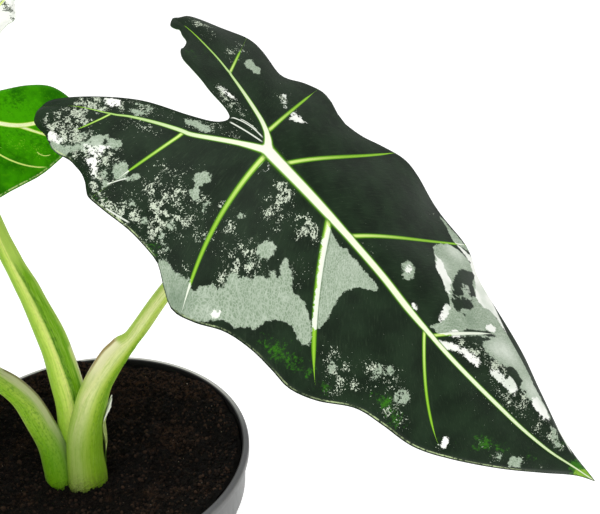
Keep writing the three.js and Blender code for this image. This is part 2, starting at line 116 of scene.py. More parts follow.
def applyModifier(piece, kind, **settings):
    selectOnly(piece)
    modifier = piece.modifiers.new(kind.lower(), kind)
    for key, value in settings.items():
        setattr(modifier, key, value)
    bpy.ops.object.modifier_apply(modifier=modifier.name)


def finishPiece(piece, material, slotName, *nodes, smoothAngle=50):
    selectOnly(piece)
    piece.data.materials.clear()
    piece.data.materials.append(material)
    bpy.ops.object.shade_smooth_by_angle(angle=math.radians(smoothAngle))
    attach(piece, "root")
    if nodes:
        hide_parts(*nodes)
    print("made", piece.name, len(piece.data.polygons), "faces")


def smoothStep(values, low, high):
    share = np.clip((np.asarray(values, float) - low) / (high - low), 0, 1)
    return share * share * (3 - 2 * share)


# curves: samples along them with the distance run at each

curveSteps = 24


def curveThrough(points, evenSteps=True):
    # a Catmull-Rom curve through points; centripetal with extended ends where the steps aren't even
    points = np.array(points, float)
    first, last = points[:1], points[-1:]
    if not evenSteps:
        first, last = 2 * first - points[1:2], 2 * last - points[-2:-1]
    padded = np.vstack([first, points, last])
    t = np.linspace(0, 1, curveSteps, endpoint=False)[:, None]
    rows = []
    for i in range(len(points) - 1):
        before, start, end, after = padded[i:i + 4]
        steps = (start - before, end - start, after - end)
        gaps = [1 if evenSteps else math.sqrt(np.linalg.norm(step)) for step in steps]
        slopes = [step / gap for step, gap in zip(steps, gaps)]
        slopeIn = gaps[1] * (slopes[0] - (end - before) / (gaps[0] + gaps[1]) + slopes[1])
        slopeOut = gaps[1] * (slopes[1] - (after - start) / (gaps[1] + gaps[2]) + slopes[2])
        cubic = 2 * (start - end) + slopeIn + slopeOut
        square = 3 * (end - start) - 2 * slopeIn - slopeOut
        rows.append(cubic * t ** 3 + square * t ** 2 + slopeIn * t + start)
    samples = np.vstack([*rows, points[-1:]])
    return samples, distanceRun(samples)


def distanceRun(line):
    return np.concatenate([[0], np.cumsum(np.linalg.norm(np.diff(line, axis=0), axis=1))])


def pointAt(curve, distance):
    samples, run = curve
    return np.stack([np.interp(distance, run, samples[:, k]) for k in range(samples.shape[1])], axis=-1)


def distanceToLine(line, points):
    # nearest distance from each flat point to a line of points, and how far along the line that is
    best = np.full(len(points), np.inf)
    share = np.zeros(len(points))
    run = distanceRun(line)
    for i in range(len(line) - 1):
        step = line[i + 1] - line[i]
        size = step @ step
        if size < 1e-12:
            continue
        along = np.clip(((points - line[i]) @ step) / size, 0, 1)
        away = np.linalg.norm(points - line[i] - along[:, None] * step, axis=1)
        closer = away < best
        best[closer] = away[closer]
        share[closer] = (run[i] + along[closer] * (run[i + 1] - run[i])) / run[-1]
    return best, share


def insideOutline(line, points):
    x, y = points[:, 0], points[:, 1]
    inside = np.zeros(len(points), bool)
    for (x0, y0), (x1, y1) in zip(line, np.roll(line, -1, axis=0)):
        if y0 != y1:
            crosses = ((y0 > y) != (y1 > y)) & (x < (x1 - x0) * (y - y0) / (y1 - y0) + x0)
            inside ^= crosses
    return inside


def depthOfPatches(patches, points):
    # distance to the nearest patch, counted as negative inside one
    nearest = np.full(len(points), 60.0)
    for patch in patches:
        line = np.array(patch, float)
        away, _ = distanceToLine(np.vstack([line, line[:1]]), points)
        away[insideOutline(line, points)] *= -1
        nearest = np.minimum(nearest, away)
    return nearest


def sumOfClouds(clouds, points):
    # soft round clouds, each (a, b, radius, amount)
    total = np.zeros(len(points))
    for a, b, radius, amount in clouds:
        away = np.hypot(points[:, 0] - a, points[:, 1] - b) / radius
        total += amount * np.exp(-away * away)
    return total


# materials: a signal is a number, place or colour that varies over a surface, so that the
# recipe of a material reads as plain sums

class Signal:
    def __init__(self, tree, socket):
        self.tree = tree
        self.socket = socket

    def __add__(self, other):
        return maths("ADD", self, other)

    def __sub__(self, other):
        return maths("SUBTRACT", self, other)

    def __rsub__(self, other):
        return maths("SUBTRACT", other, self)

    def __mul__(self, other):
        return maths("MULTIPLY", self, other)


def feed(socket, value, tree):
    if isinstance(value, Signal):
        tree.links.new(value.socket, socket)
    else:
        socket.default_value = value


def wire(tree, kind, inputs, output=0, **settings):
    # a node with its settings and its inputs, which are numbers, colours or signals
    node = tree.nodes.new(kind)
    for name, value in settings.items():
        setattr(node, name, value)
    for key, value in inputs.items():
        feed(node.inputs[key], value, tree)
    return Signal(tree, node.outputs[output])


def maths(operation, *values):
    tree = next(value.tree for value in values if isinstance(value, Signal))
    return wire(tree, "ShaderNodeMath", dict(enumerate(values)), operation=operation)


def ease(value, low, high):
    # 0 at low and 1 at high, eased, either way round
    inputs = {"Value": value, "From Min": low, "From Max": high}
    return wire(value.tree, "ShaderNodeMapRange", inputs, "Result", interpolation_type="SMOOTHSTEP")


def blend(share, under, over):
    # 0, 6 and 7 are the factor and the two colours of a Mix node, 2 is the colour it gives
    return wire(share.tree, "ShaderNodeMix", {0: share, 6: under, 7: over}, 2, data_type="RGBA")


def colorBands(position, bands):
    ramp = position.tree.nodes.new("ShaderNodeValToRGB")
    feed(ramp.inputs[0], position, position.tree)
    elements = ramp.color_ramp.elements
    while len(elements) < len(bands):
        elements.new(0.5)
    for element, (place, color) in zip(elements, bands):
        element.position = place
        element.color = color
    return Signal(position.tree, ramp.outputs["Color"])


def paint(red, green, blue):
    # a colour as it looks on a screen, 0 to 255
    def straight(value):
        value /= 255
        return value / 12.92 if value <= 0.04045 else ((value + 0.055) / 1.055) ** 2.4

    return (straight(red), straight(green), straight(blue), 1)


class Skin:
    # a material in the making
    def __init__(self, name, roughness=0.5, specular=0.3):
        self.material = bpy.data.materials.new(name)
        self.material.use_nodes = True
        self.tree = self.material.node_tree
        self.put("Roughness", roughness)
        self.put("Specular IOR Level", specular)

    def put(self, name, value):
        feed(self.tree.nodes["Principled BSDF"].inputs[name], value, self.tree)

    def paintWith(self, color):
        self.put("Base Color", color)
        return self.material

    def bump(self, height, depth):
        inputs = {"Distance": depth * mm, "Strength": 1, "Height": height}
        self.put("Normal", wire(self.tree, "ShaderNodeBump", inputs, "Normal"))

    def read(self, name, output="Fac"):
        return wire(self.tree, "ShaderNodeAttribute", {}, output, attribute_name=name)

    def parts(self, vector):
        node = self.tree.nodes.new("ShaderNodeSeparateXYZ")
        feed(node.inputs[0], vector, self.tree)
        return [Signal(self.tree, output) for output in node.outputs]

    def vector(self, x, y, z=0):
        return wire(self.tree, "ShaderNodeCombineXYZ", {0: x, 1: y, 2: z})

    def place(self, across=1, along=1, up=1):
        # object coordinates in millimetres, squeezed or stretched along each axis
        spot = wire(self.tree, "ShaderNodeTexCoord", {}, "Object")
        inputs = {"Vector": spot, "Scale": (across / mm, along / mm, up / mm)}
        return wire(self.tree, "ShaderNodeMapping", inputs, "Vector")

    def noise(self, place, size, detail=2, roughness=0.5, distortion=0):
        inputs = {"Vector": place, "Scale": 1 / size, "Detail": detail, "Roughness": roughness,
                  "Distortion": distortion}
        return wire(self.tree, "ShaderNodeTexNoise", inputs, "Fac")

    def cells(self, place, size):
        # how far the edge between two cells is
        inputs = {"Vector": place, "Scale": 1 / size}
        return wire(self.tree, "ShaderNodeTexVoronoi", inputs, "Distance", feature="DISTANCE_TO_EDGE")


# the photograph's camera and its picture's size in pixels; pixelsPerMm holds at the leaves
camera = {"place": (79.7, -299.9, 359.4), "pitch": 29.6, "lens": 60, "sensor": 36,
          "width": 600, "height": 514, "pixelsPerMm": 3.34}

bladeForm = {
    "markLift": 0.9, "edgeReach": 12, "thickness": 0.8, "rimThickness": 0.4, "ridge": 10, "quilt": 1.6,
    "ribCrest": 0.35, "ribKeel": 1.5, "veinCrest": 0.2, "veinKeel": 0.6,
    "raySpacing": 1.15, "veinSide": 1.7, "veinSideShare": 0.008, "rings": 54, "curl": 0.5, "curlWidth": 1.6,
}

# The leaves' places are (a, b) in the leaf's own plane: a runs from the hub to the tip and b to the
# right of the midrib. A vein is (where on its rib it starts, less than 0 on a lobe's rib, the place
# on the rim it heads for, its bow, its half width at the root and at the end, how far it reaches).
frontLeaf = {
    "name": "frontBlade", "node": "blade_front", "slot": "dark_blade",
    "hub": (70, -24, 239), "runs": (0.705, -0.349, -0.618), "faces": (0.279, -0.664, 0.693),
    "length": 138, "bulge": 9, "bow": -8, "lobeDroop": 0.0022, "fallLeft": 25, "fallRight": 32,
    "twist": 0.1, "wave": 0.8,
    "leftSide": [
        (-63, -29), (-63, -31.5), (-61.4, -33.8), (-58.2, -34.9), (-55.2, -35.3), (-52.5, -36.3),
        (-50, -37.3), (-47.3, -37.5), (-43, -36.8), (-40, -37.1), (-37, -37.7), (-34, -39.1), (-31.5, -41),
        (-29, -42.2), (-22, -42.5), (-11, -42),
        (0, -43.7), (8, -47), (14, -48.4), (21, -45.5), (29, -41), (38, -39), (47, -38.3), (54, -38),
        (62, -35), (71, -29.5), (80, -27.5), (91, -26), (101, -22), (114, -15), (125, -8), (133, -2.7),
        (139.4, -0.2)],
    "rightSide": [
        (-59, 26.6), (-58.4, 29.8), (-56.7, 33.4), (-48, 38), (-39.8, 41.7), (-35, 41.5), (-29, 39),
        (-20, 34.7), (-16.2, 34.8), (-11.5, 39), (-5, 40.8), (2, 38), (8, 37), (15, 41), (22, 47),
        (30, 51), (38, 51), (46, 49.5), (56, 47), (67, 44), (75, 37), (83, 33), (92, 28), (101, 22.2),
        (110, 14), (120, 6.2), (130, 2.3), (139.4, -0.2)],
    "sinus": [
        (-63, -29), (-62, -25), (-53, -17.9), (-40.2, -10.6), (-26, -6), (-18.3, -2.6), (-16, 1), (-19, 3.4),
        (-27, 5.6), (-32.5, 7.7), (-38, 9.5), (-42.8, 11.3), (-46, 14.4), (-46.2, 16.4), (-48, 20.2),
        (-51.2, 22), (-53.5, 23.6), (-55, 22.9), (-57.3, 23.2), (-59, 26.6)],
    "leftRib": [(0, 0), (-7.5, -3.7), (-14, -7.2), (-20, -10.3), (-24, -11.4), (-31, -13.7), (-38.4, -16.5),
                (-43, -18.8), (-54, -23.2), (-63, -29)],
    "rightRib": [(0, 0), (-3, 3.5), (-7.5, 6.8), (-13, 9.6), (-25, 15.4), (-37, 20.8), (-50, 25.4),
                 (-59, 26.6)],
    "midrib": [(0, 0), (12, 0.9), (22, 1.4), (32, 1.6), (42, 1.4), (51, 0.9), (61, -0.2), (70, -0.9),
               (80, -1.6), (90, -2), (100, -2.3), (110, -2.6), (121, -2.3), (130, -1.2), (139.4, -0.2)],
    "leftVeins": [(-47.5, (-53, -37.5), 0.02, 0.34, 0.14, 0.5), (-24.6, (-28.4, -42), 0, 0.6, 0.28, 0.62),
                  (0.5, (17, -47), -0.076, 1, 0.38, 0.9), (27, (62, -35), -0.052, 1.1, 0.42, 0.82),
                  (69, (99, -22.6), -0.06, 0.52, 0.24, 0.8)],
    "rightVeins": [(-33, (-37.6, 41), 0, 0.5, 0.25, 0.55), (-6.5, (-6, 40), 0, 0.75, 0.3, 0.8),
                   (6, (27.6, 50), -0.01, 0.75, 0.34, 0.92), (35, (65.6, 44), 0, 0.72, 0.36, 0.98),
                   (72, (94, 26.5), 0, 0.55, 0.3, 0.6)],
    # half widths along each rib, as (share of its length, half width)
    "ribWidths": {
        "mid": [(0, 2.1), (0.09, 1.85), (0.16, 1.65), (0.24, 1.3), (0.44, 1.12), (0.52, 0.75), (0.72, 0.66),
                (0.88, 0.4), (1, 0.2)],
        "left": [(0, 1.6), (0.12, 0.95), (0.3, 0.75), (0.5, 0.52), (0.62, 0.34), (0.72, 0.2), (0.84, 0.1),
                 (0.88, 0.01), (1, 0.01)],
        "right": [(0, 1.6), (0.1, 0.9), (0.3, 0.7), (0.45, 0.5), (0.6, 0.34), (0.8, 0.22), (0.9, 0.1),
                  (0.93, 0.01), (1, 0.01)]},
    # marks in the photograph's pixels, listed as patches, clouds (x, y, radius, amount)
    # and lines (points, half width in mm)
    "inPhoto": ("grey", "white", "dark", "specks", "glow", "paleRim", "bareRim", "darkRim", "pale",
                "paleLines", "blots"),
    "grey": [
        [(156, 285), (157, 272), (156, 262), (160, 258), (164, 261), (167, 262), (171, 270), (178, 275),
         (186, 277), (190, 279), (190, 288), (192, 291), (196, 290), (200, 287), (207, 287), (213, 285),
         (217, 288), (222, 288), (226, 282), (229, 275), (234, 272), (237, 277), (243, 276), (248, 279),
         (252, 281), (256, 276), (262, 275), (266, 278), (270, 279), (271, 270), (274, 268), (276, 276),
         (279, 280), (281, 276), (280, 268), (284, 264), (282, 260), (286, 257), (290, 260), (289, 266),
         (292, 272), (293, 278), (291, 285), (292, 292), (297, 297), (303, 298), (307, 305), (310, 318),
         (312, 330), (310, 345), (303, 346), (296, 338), (293, 325), (280, 319), (266, 320), (256, 329),
         (244, 326), (236, 328), (224, 319), (200, 321), (186, 318), (170, 306)],
        [(327, 224), (332, 229), (334, 236), (338, 243), (341, 248), (347, 249), (350, 255), (356, 260),
         (361, 265), (365, 272), (372, 279), (378, 286), (377, 291), (370, 291), (363, 289), (355, 288),
         (349, 290), (343, 294), (337, 301), (333, 309), (329, 317), (322, 325), (316, 328), (312, 330),
         (313, 310), (316, 290), (319, 265), (322, 245)],
        [(256, 251), (259, 245), (258, 242), (263, 242), (270, 240), (275, 241), (278, 246), (276, 252),
         (271, 257), (266, 261), (260, 259), (257, 256)],
        [(247, 262), (251, 259), (252, 264), (249, 266)],
        [(194, 178), (196, 174), (200, 173), (204, 172), (207, 172), (212, 175), (211, 178), (208, 183),
         (202, 186), (197, 184), (194, 181)],
        [(192, 190), (196, 188), (200, 187), (201, 193), (200, 200), (196, 203), (193, 199), (191, 194)],
        [(203, 207), (207, 203), (209, 202), (210, 206), (206, 208), (205, 211), (202, 213), (202, 209)],
        [(236, 217), (240, 213), (246, 214), (246, 217), (242, 220), (238, 219)],
        [(194, 238), (197, 234), (200, 240), (200, 243), (196, 241)],
        [(167, 226), (170, 221), (174, 223), (177, 228), (174, 231), (170, 229)],
        [(155, 236), (160, 233), (164, 233), (164, 238), (158, 240)],
        [(163, 247), (167, 243), (169, 248), (168, 252), (164, 249)],
        [(137, 221), (144, 218), (148, 220), (151, 225), (146, 224), (140, 223)],
        [(124, 203), (128, 200), (134, 201), (140, 203), (137, 206), (130, 205)],
        [(50, 140), (57, 142), (63, 146), (72, 146), (80, 143), (90, 140), (92, 137), (98, 135), (104, 136),
         (108, 137), (112, 140), (116, 141), (121, 141), (124, 144), (121, 148), (117, 150), (110, 148),
         (104, 147), (98, 150), (90, 150), (80, 150), (72, 152), (66, 154), (60, 156), (52, 152), (46, 145)],
        [(78, 139), (83, 134), (90, 133), (88, 136), (82, 139)],
        [(101, 172), (105, 170), (107, 175), (105, 180), (108, 184), (104, 187), (101, 184), (102, 178)],
        [(114, 165), (120, 163), (126, 163), (128, 168), (128, 172), (124, 177), (117, 179), (113, 178),
         (113, 172), (115, 168)],
        [(124, 178), (131, 176), (135, 174), (141, 174), (139, 179), (132, 180), (125, 182)],
        [(134, 104), (138, 102), (142, 104), (144, 106), (140, 106)],
        [(130, 109), (136, 109), (142, 110), (145, 113), (143, 115), (136, 114), (131, 112)],
        [(144, 107), (148, 106), (152, 108), (150, 110), (145, 110)],
        [(184, 119), (190, 118), (198, 121), (205, 124), (211, 130), (206, 132), (199, 129), (193, 126),
         (187, 122)],
        [(244, 64), (247, 60), (252, 61), (253, 66), (257, 69), (260, 72), (258, 77), (254, 76), (251, 72),
         (247, 69)],
        [(434, 246), (440, 243), (448, 243), (455, 247), (462, 252), (468, 258), (472, 266), (475, 272),
         (478, 278), (478, 292), (484, 306), (490, 311), (496, 316), (500, 322), (505, 330), (510, 335),
         (515, 342), (519, 350), (523, 360), (528, 372), (533, 385), (538, 395), (543, 405), (548, 415),
         (549, 420), (545, 418), (540, 414), (533, 408), (528, 402), (522, 395), (517, 388), (520, 382),
         (515, 372), (511, 367), (505, 368), (497, 362), (490, 358), (487, 352), (482, 345), (486, 340),
         (492, 338), (480, 336), (460, 335), (440, 334), (430, 326), (441, 322), (447, 310), (447, 300),
         (443, 291), (440, 281), (436, 274), (434, 262)],
        [(440, 216), (446, 221), (452, 229), (459, 236), (466, 244), (473, 252), (466, 249), (461, 245),
         (455, 241), (450, 232), (446, 225)],
        [(401, 264), (409, 261), (414, 270), (412, 280), (402, 281)],
        [(393, 396), (398, 390), (408, 391), (410, 400), (402, 404), (395, 401)],
        [(371, 378), (378, 364), (384, 366), (376, 379)],
        [(387, 376), (389, 365), (394, 367), (391, 376)],
        [(328, 372), (331, 360), (336, 364), (333, 374)],
        [(508, 461), (512, 454), (521, 460), (519, 467), (510, 466)],
        [(497, 452), (501, 452), (501, 460), (498, 460)],
        [(549, 428), (553, 430), (558, 446), (553, 449)],
    ],
    "white": [
        [(47, 133), (50, 131), (56, 135), (62, 137), (63, 141), (58, 144), (53, 141), (46, 139)],
        [(83, 147), (86, 144), (91, 144), (96, 147), (103, 147), (110, 148), (105, 151), (102, 154),
         (98, 157), (92, 155), (89, 152), (88, 148)],
        [(88, 160), (92, 157), (98, 158), (100, 161), (95, 164), (91, 166)],
        [(92, 168), (96, 166), (99, 170), (97, 174), (95, 177), (91, 174)],
        [(104, 97), (110, 97), (119, 100), (119, 104), (112, 105), (106, 103)],
        [(208, 314), (212, 313), (214, 309), (217, 312), (221, 311), (219, 317), (213, 318)],
        [(204, 239), (208, 238), (206, 242)],
        [(259, 173), (263, 168), (267, 169), (267, 162), (271, 162), (270, 168), (266, 171), (262, 173)],
        [(219, 86), (223, 85), (229, 92), (235, 97), (230, 95), (224, 91)],
        [(281, 96), (286, 95), (286, 108), (282, 106)],
        [(289, 121), (293, 112), (297, 116), (303, 122), (306, 125), (299, 124)],
        [(434, 255), (437, 258), (441, 262), (442, 270), (445, 277), (449, 283), (449, 290), (447, 299),
         (443, 291), (440, 281), (436, 274), (434, 267), (436, 261)],
        [(443, 307), (447, 301), (450, 308), (447, 316), (441, 322), (438, 320)],
        [(455, 241), (466, 250), (478, 262), (486, 280), (494, 300), (508, 322), (523, 345), (517, 345),
         (509, 334), (500, 322), (492, 312), (483, 308), (475, 300), (474, 290), (475, 280), (471, 262),
         (464, 252)],
        [(486, 327), (491, 324), (496, 327), (495, 331), (489, 330)],
        [(438, 340), (446, 341), (455, 344), (462, 348), (470, 353), (478, 358), (482, 363), (477, 366),
         (470, 360), (462, 352), (455, 350), (448, 350), (442, 346)],
        [(446, 333), (456, 329), (463, 333), (460, 336), (450, 336)],
        [(489, 372), (494, 370), (500, 375), (504, 379), (509, 377), (514, 382), (516, 388), (513, 394),
         (508, 393), (503, 388), (500, 383), (494, 380)],
        [(530, 400), (536, 398), (540, 403), (545, 412), (547, 420), (541, 420), (535, 412), (530, 406)],
        [(412, 303), (417, 304), (418, 310), (414, 309)],
        [(404, 266), (409, 265), (411, 272), (406, 274)],
        [(441, 449), (444, 438), (448, 438), (445, 448)],
    ],
    "dark": [
        [(103, 144), (105, 141), (109, 141), (110, 144), (107, 146)],
        [(453, 277), (455, 272), (461, 269), (467, 271), (472, 272), (475, 275), (472, 282), (472, 288),
         (474, 297), (470, 299), (467, 296), (468, 288), (462, 285), (459, 290), (462, 296), (458, 298),
         (450, 298), (450, 285)],
        [(448, 300), (457, 300), (466, 301), (470, 303), (472, 308), (468, 311), (463, 309), (459, 313),
         (455, 313), (452, 308)],
        [(464, 330), (470, 328), (480, 329), (490, 331), (497, 336), (490, 336), (480, 334), (470, 335)],
        [(460, 316), (464, 314), (467, 313), (465, 319), (462, 320)],
        [(506, 371), (511, 367), (515, 372), (519, 380), (518, 388), (516, 390), (512, 383)],
    ],
    "specks": [
        (60, 122, 16, 0.8), (92, 103, 20, 0.8), (74, 139, 14, 0.6), (100, 158, 24, 0.6), (92, 186, 16, 0.7),
        (116, 206, 22, 0.5), (150, 200, 34, 0.45), (190, 225, 34, 0.45), (235, 235, 30, 0.35),
        (150, 240, 16, 0.5), (282, 205, 20, 0.5), (310, 228, 14, 0.5), (140, 110, 30, 0.45),
        (240, 262, 20, 0.5), (215, 124, 20, 0.4), (345, 375, 26, 0.45), (390, 395, 26, 0.4),
        (500, 390, 30, 0.6), (480, 352, 18, 0.6), (545, 432, 16, 0.6), (196, 24, 14, 0.5),
        (236, 50, 14, 0.4), (286, 104, 12, 0.5), (460, 290, 14, 0.5), (486, 300, 10, 0.5), (55, 123, 8, 1),
        (48, 120, 5, 0.6), (62, 128, 6, 0.9), (72, 136, 7, 1), (75, 157, 7, 1.1), (87, 152, 6, 1),
        (108, 153, 8, 1), (118, 156, 6, 0.8), (104, 162, 7, 0.8), (88, 102, 9, 1), (78, 99, 8, 0.6),
        (100, 106, 7, 1.1), (122, 104, 8, 0.9), (145, 108, 10, 0.6), (170, 114, 9, 0.6),
        (188, 124, 8, 0.8), (215, 126, 8, 0.8), (235, 136, 8, 0.8), (145, 126, 8, 0.7), (156, 130, 7, 0.6),
        (122, 128, 6, 0.6), (95, 182, 8, 0.9), (94, 196, 7, 0.8), (106, 207, 8, 0.8), (122, 214, 8, 0.8),
        (132, 215, 7, 0.9), (136, 226, 6, 0.7), (160, 164, 7, 0.8), (154, 186, 10, 0.8),
        (156, 208, 9, 0.7), (168, 202, 9, 0.8), (180, 192, 8, 1.1), (184, 170, 9, 0.5), (202, 164, 8, 0.4),
        (174, 214, 8, 0.9), (186, 224, 9, 0.8), (160, 224, 9, 0.7), (150, 240, 7, 0.8), (163, 252, 7, 0.8),
        (204, 200, 7, 0.8), (222, 204, 6, 0.9), (233, 224, 6, 0.8), (204, 236, 7, 0.9), (224, 234, 6, 0.8),
        (187, 266, 6, 0.8), (182, 272, 6, 0.8), (281, 184, 8, 1.2), (285, 194, 8, 1.3), (277, 200, 7, 1),
        (262, 204, 7, 0.7), (268, 214, 6, 0.9), (284, 216, 6, 0.8), (275, 230, 8, 0.8), (302, 218, 7, 1),
        (308, 228, 8, 1.2), (314, 236, 6, 1.1), (298, 238, 6, 0.8), (248, 250, 8, 1.1), (237, 264, 8, 1.2),
        (222, 280, 8, 1.2), (248, 270, 9, 1), (265, 266, 8, 0.8), (292, 268, 6, 0.8), (300, 284, 7, 0.9),
        (308, 270, 6, 0.7), (298, 256, 6, 0.6), (368, 247, 7, 0.9), (386, 246, 7, 0.7), (405, 272, 7, 0.9),
        (430, 213, 8, 0.7), (330, 352, 9, 0.9), (338, 372, 10, 1), (332, 390, 8, 0.8), (352, 386, 7, 0.8),
        (374, 368, 9, 1), (392, 378, 9, 0.8), (402, 396, 8, 0.8), (390, 412, 8, 0.9), (404, 424, 8, 0.8),
        (440, 448, 6, 0.8), (482, 444, 7, 0.8), (498, 456, 8, 0.9), (518, 462, 8, 0.9), (540, 466, 6, 0.6),
        (462, 286, 6, 1.2), (456, 294, 6, 1.1), (470, 300, 6, 1), (464, 344, 8, 1.3), (476, 350, 7, 1.3),
        (494, 364, 8, 1.3), (502, 372, 6, 1.1), (508, 400, 8, 0.9), (522, 396, 7, 1.2), (522, 412, 8, 0.9),
        (536, 424, 8, 0.7), (552, 436, 7, 1.2), (560, 448, 6, 0.9), (196, 26, 8, 0.7), (212, 36, 7, 0.6),
        (230, 52, 7, 0.9), (243, 50, 6, 0.8), (224, 90, 6, 0.9), (234, 102, 6, 1), (246, 112, 6, 0.7),
        (252, 124, 6, 0.7), (282, 100, 7, 1.1), (296, 116, 8, 1), (292, 96, 6, 0.7), (283, 150, 4, 0.8),
        (320, 130, 8, 0.4), (205, 40, 10, 0.8), (233, 58, 9, 1), (240, 44, 8, 0.8), (218, 88, 9, 1),
        (229, 98, 9, 1), (240, 110, 9, 0.7), (208, 28, 10, 0.6), (76, 124, 16, 0.6), (70, 116, 12, 0.5),
        (84, 133, 12, 0.6), (60, 132, 10, 0.8), (172, 172, 14, 0.4)],
    "glow": [
        (276, 350, 10, 1), (292, 362, 9, 0.9), (262, 342, 8, 0.5), (308, 372, 8, 0.7), (385, 402, 9, 1),
        (396, 420, 10, 0.9), (372, 392, 7, 0.4), (482, 443, 10, 1), (500, 448, 8, 0.6), (440, 440, 8, 0.4),
        (200, 104, 6, 0.4), (96, 196, 10, 0.4), (106, 206, 7, 0.7), (150, 248, 9, 0.9), (120, 226, 12, 0.4),
        (326, 388, 8, 0.8), (528, 458, 8, 0.6), (575, 466, 8, 1.4), (586, 474, 8, 2), (560, 446, 8, 0.7),
        (206, 50, 14, 0.35), (190, 52, 10, 0.4), (58, 124, 8, 0.3)],
    "paleRim": [(100, 206, 10, 0.5), (118, 218, 12, 1.2), (132, 228, 10, 1.1), (150, 246, 8, 0.8),
                (54, 152, 7, 1.6), (62, 156, 6, 1.4), (185, 318, 14, 0.7), (215, 322, 14, 0.8),
                (260, 340, 12, 0.7), (292, 376, 14, 0.9), (330, 400, 16, 1), (380, 414, 20, 1.1),
                (420, 438, 16, 1.2), (450, 456, 18, 1.2), (500, 466, 20, 1)],
    "bareRim": [(470, 254, 14, 1.2), (480, 272, 14, 1.3), (486, 286, 8, 1)],
    "paleLines": [
        ([(230, 115.5), (246, 122), (264, 138)], 0.2), ([(229, 120.5), (246, 130), (264, 142)], 0.22),
        ([(240, 117.5), (250, 123), (258, 130)], 0.13), ([(106, 184), (118, 180), (128, 178)], 0.2),
        ([(104, 207), (118, 216), (130, 223)], 0.22), ([(541, 397), (556, 426), (572, 455)], 0.28),
        ([(50, 153), (58, 161), (68, 162)], 0.2), ([(266, 150), (262, 162), (256, 168)], 0.24)],
    "blots": [(589, 476, 5, 4), (583, 474, 5, 2.2), (576, 472, 4, 1.2), (594, 478, 5, 4)],
    "darkRim": [(100, 200, 10, 0.3), (66, 158, 6, 0.3)],
    "shadedEdge": [(489, 293), (495, 306), (501, 319), (507, 331), (515, 346), (526, 368), (537, 392),
                 (548, 414), (558, 430)],
    "pale": [(455, 250, 14, 1), (440, 266, 10, 0.8), (440, 312, 8, 0.5), (484, 300, 8, 0.8),
             (505, 350, 14, 1.1), (494, 350, 8, 0.6), (530, 390, 12, 0.9), (540, 408, 10, 1),
             (516, 364, 9, 0.3), (460, 340, 12, 0.5), (96, 147, 8, 0.4), (276, 246, 8, 0.25),
             (350, 266, 12, 0.2), (205, 312, 9, 0.3), (290, 262, 6, 0.2), (470, 320, 10, -0.7),
             (456, 326, 8, -0.5), (175, 300, 18, -0.8), (250, 300, 18, -0.15), (466, 290, 8, 0.6)],
}

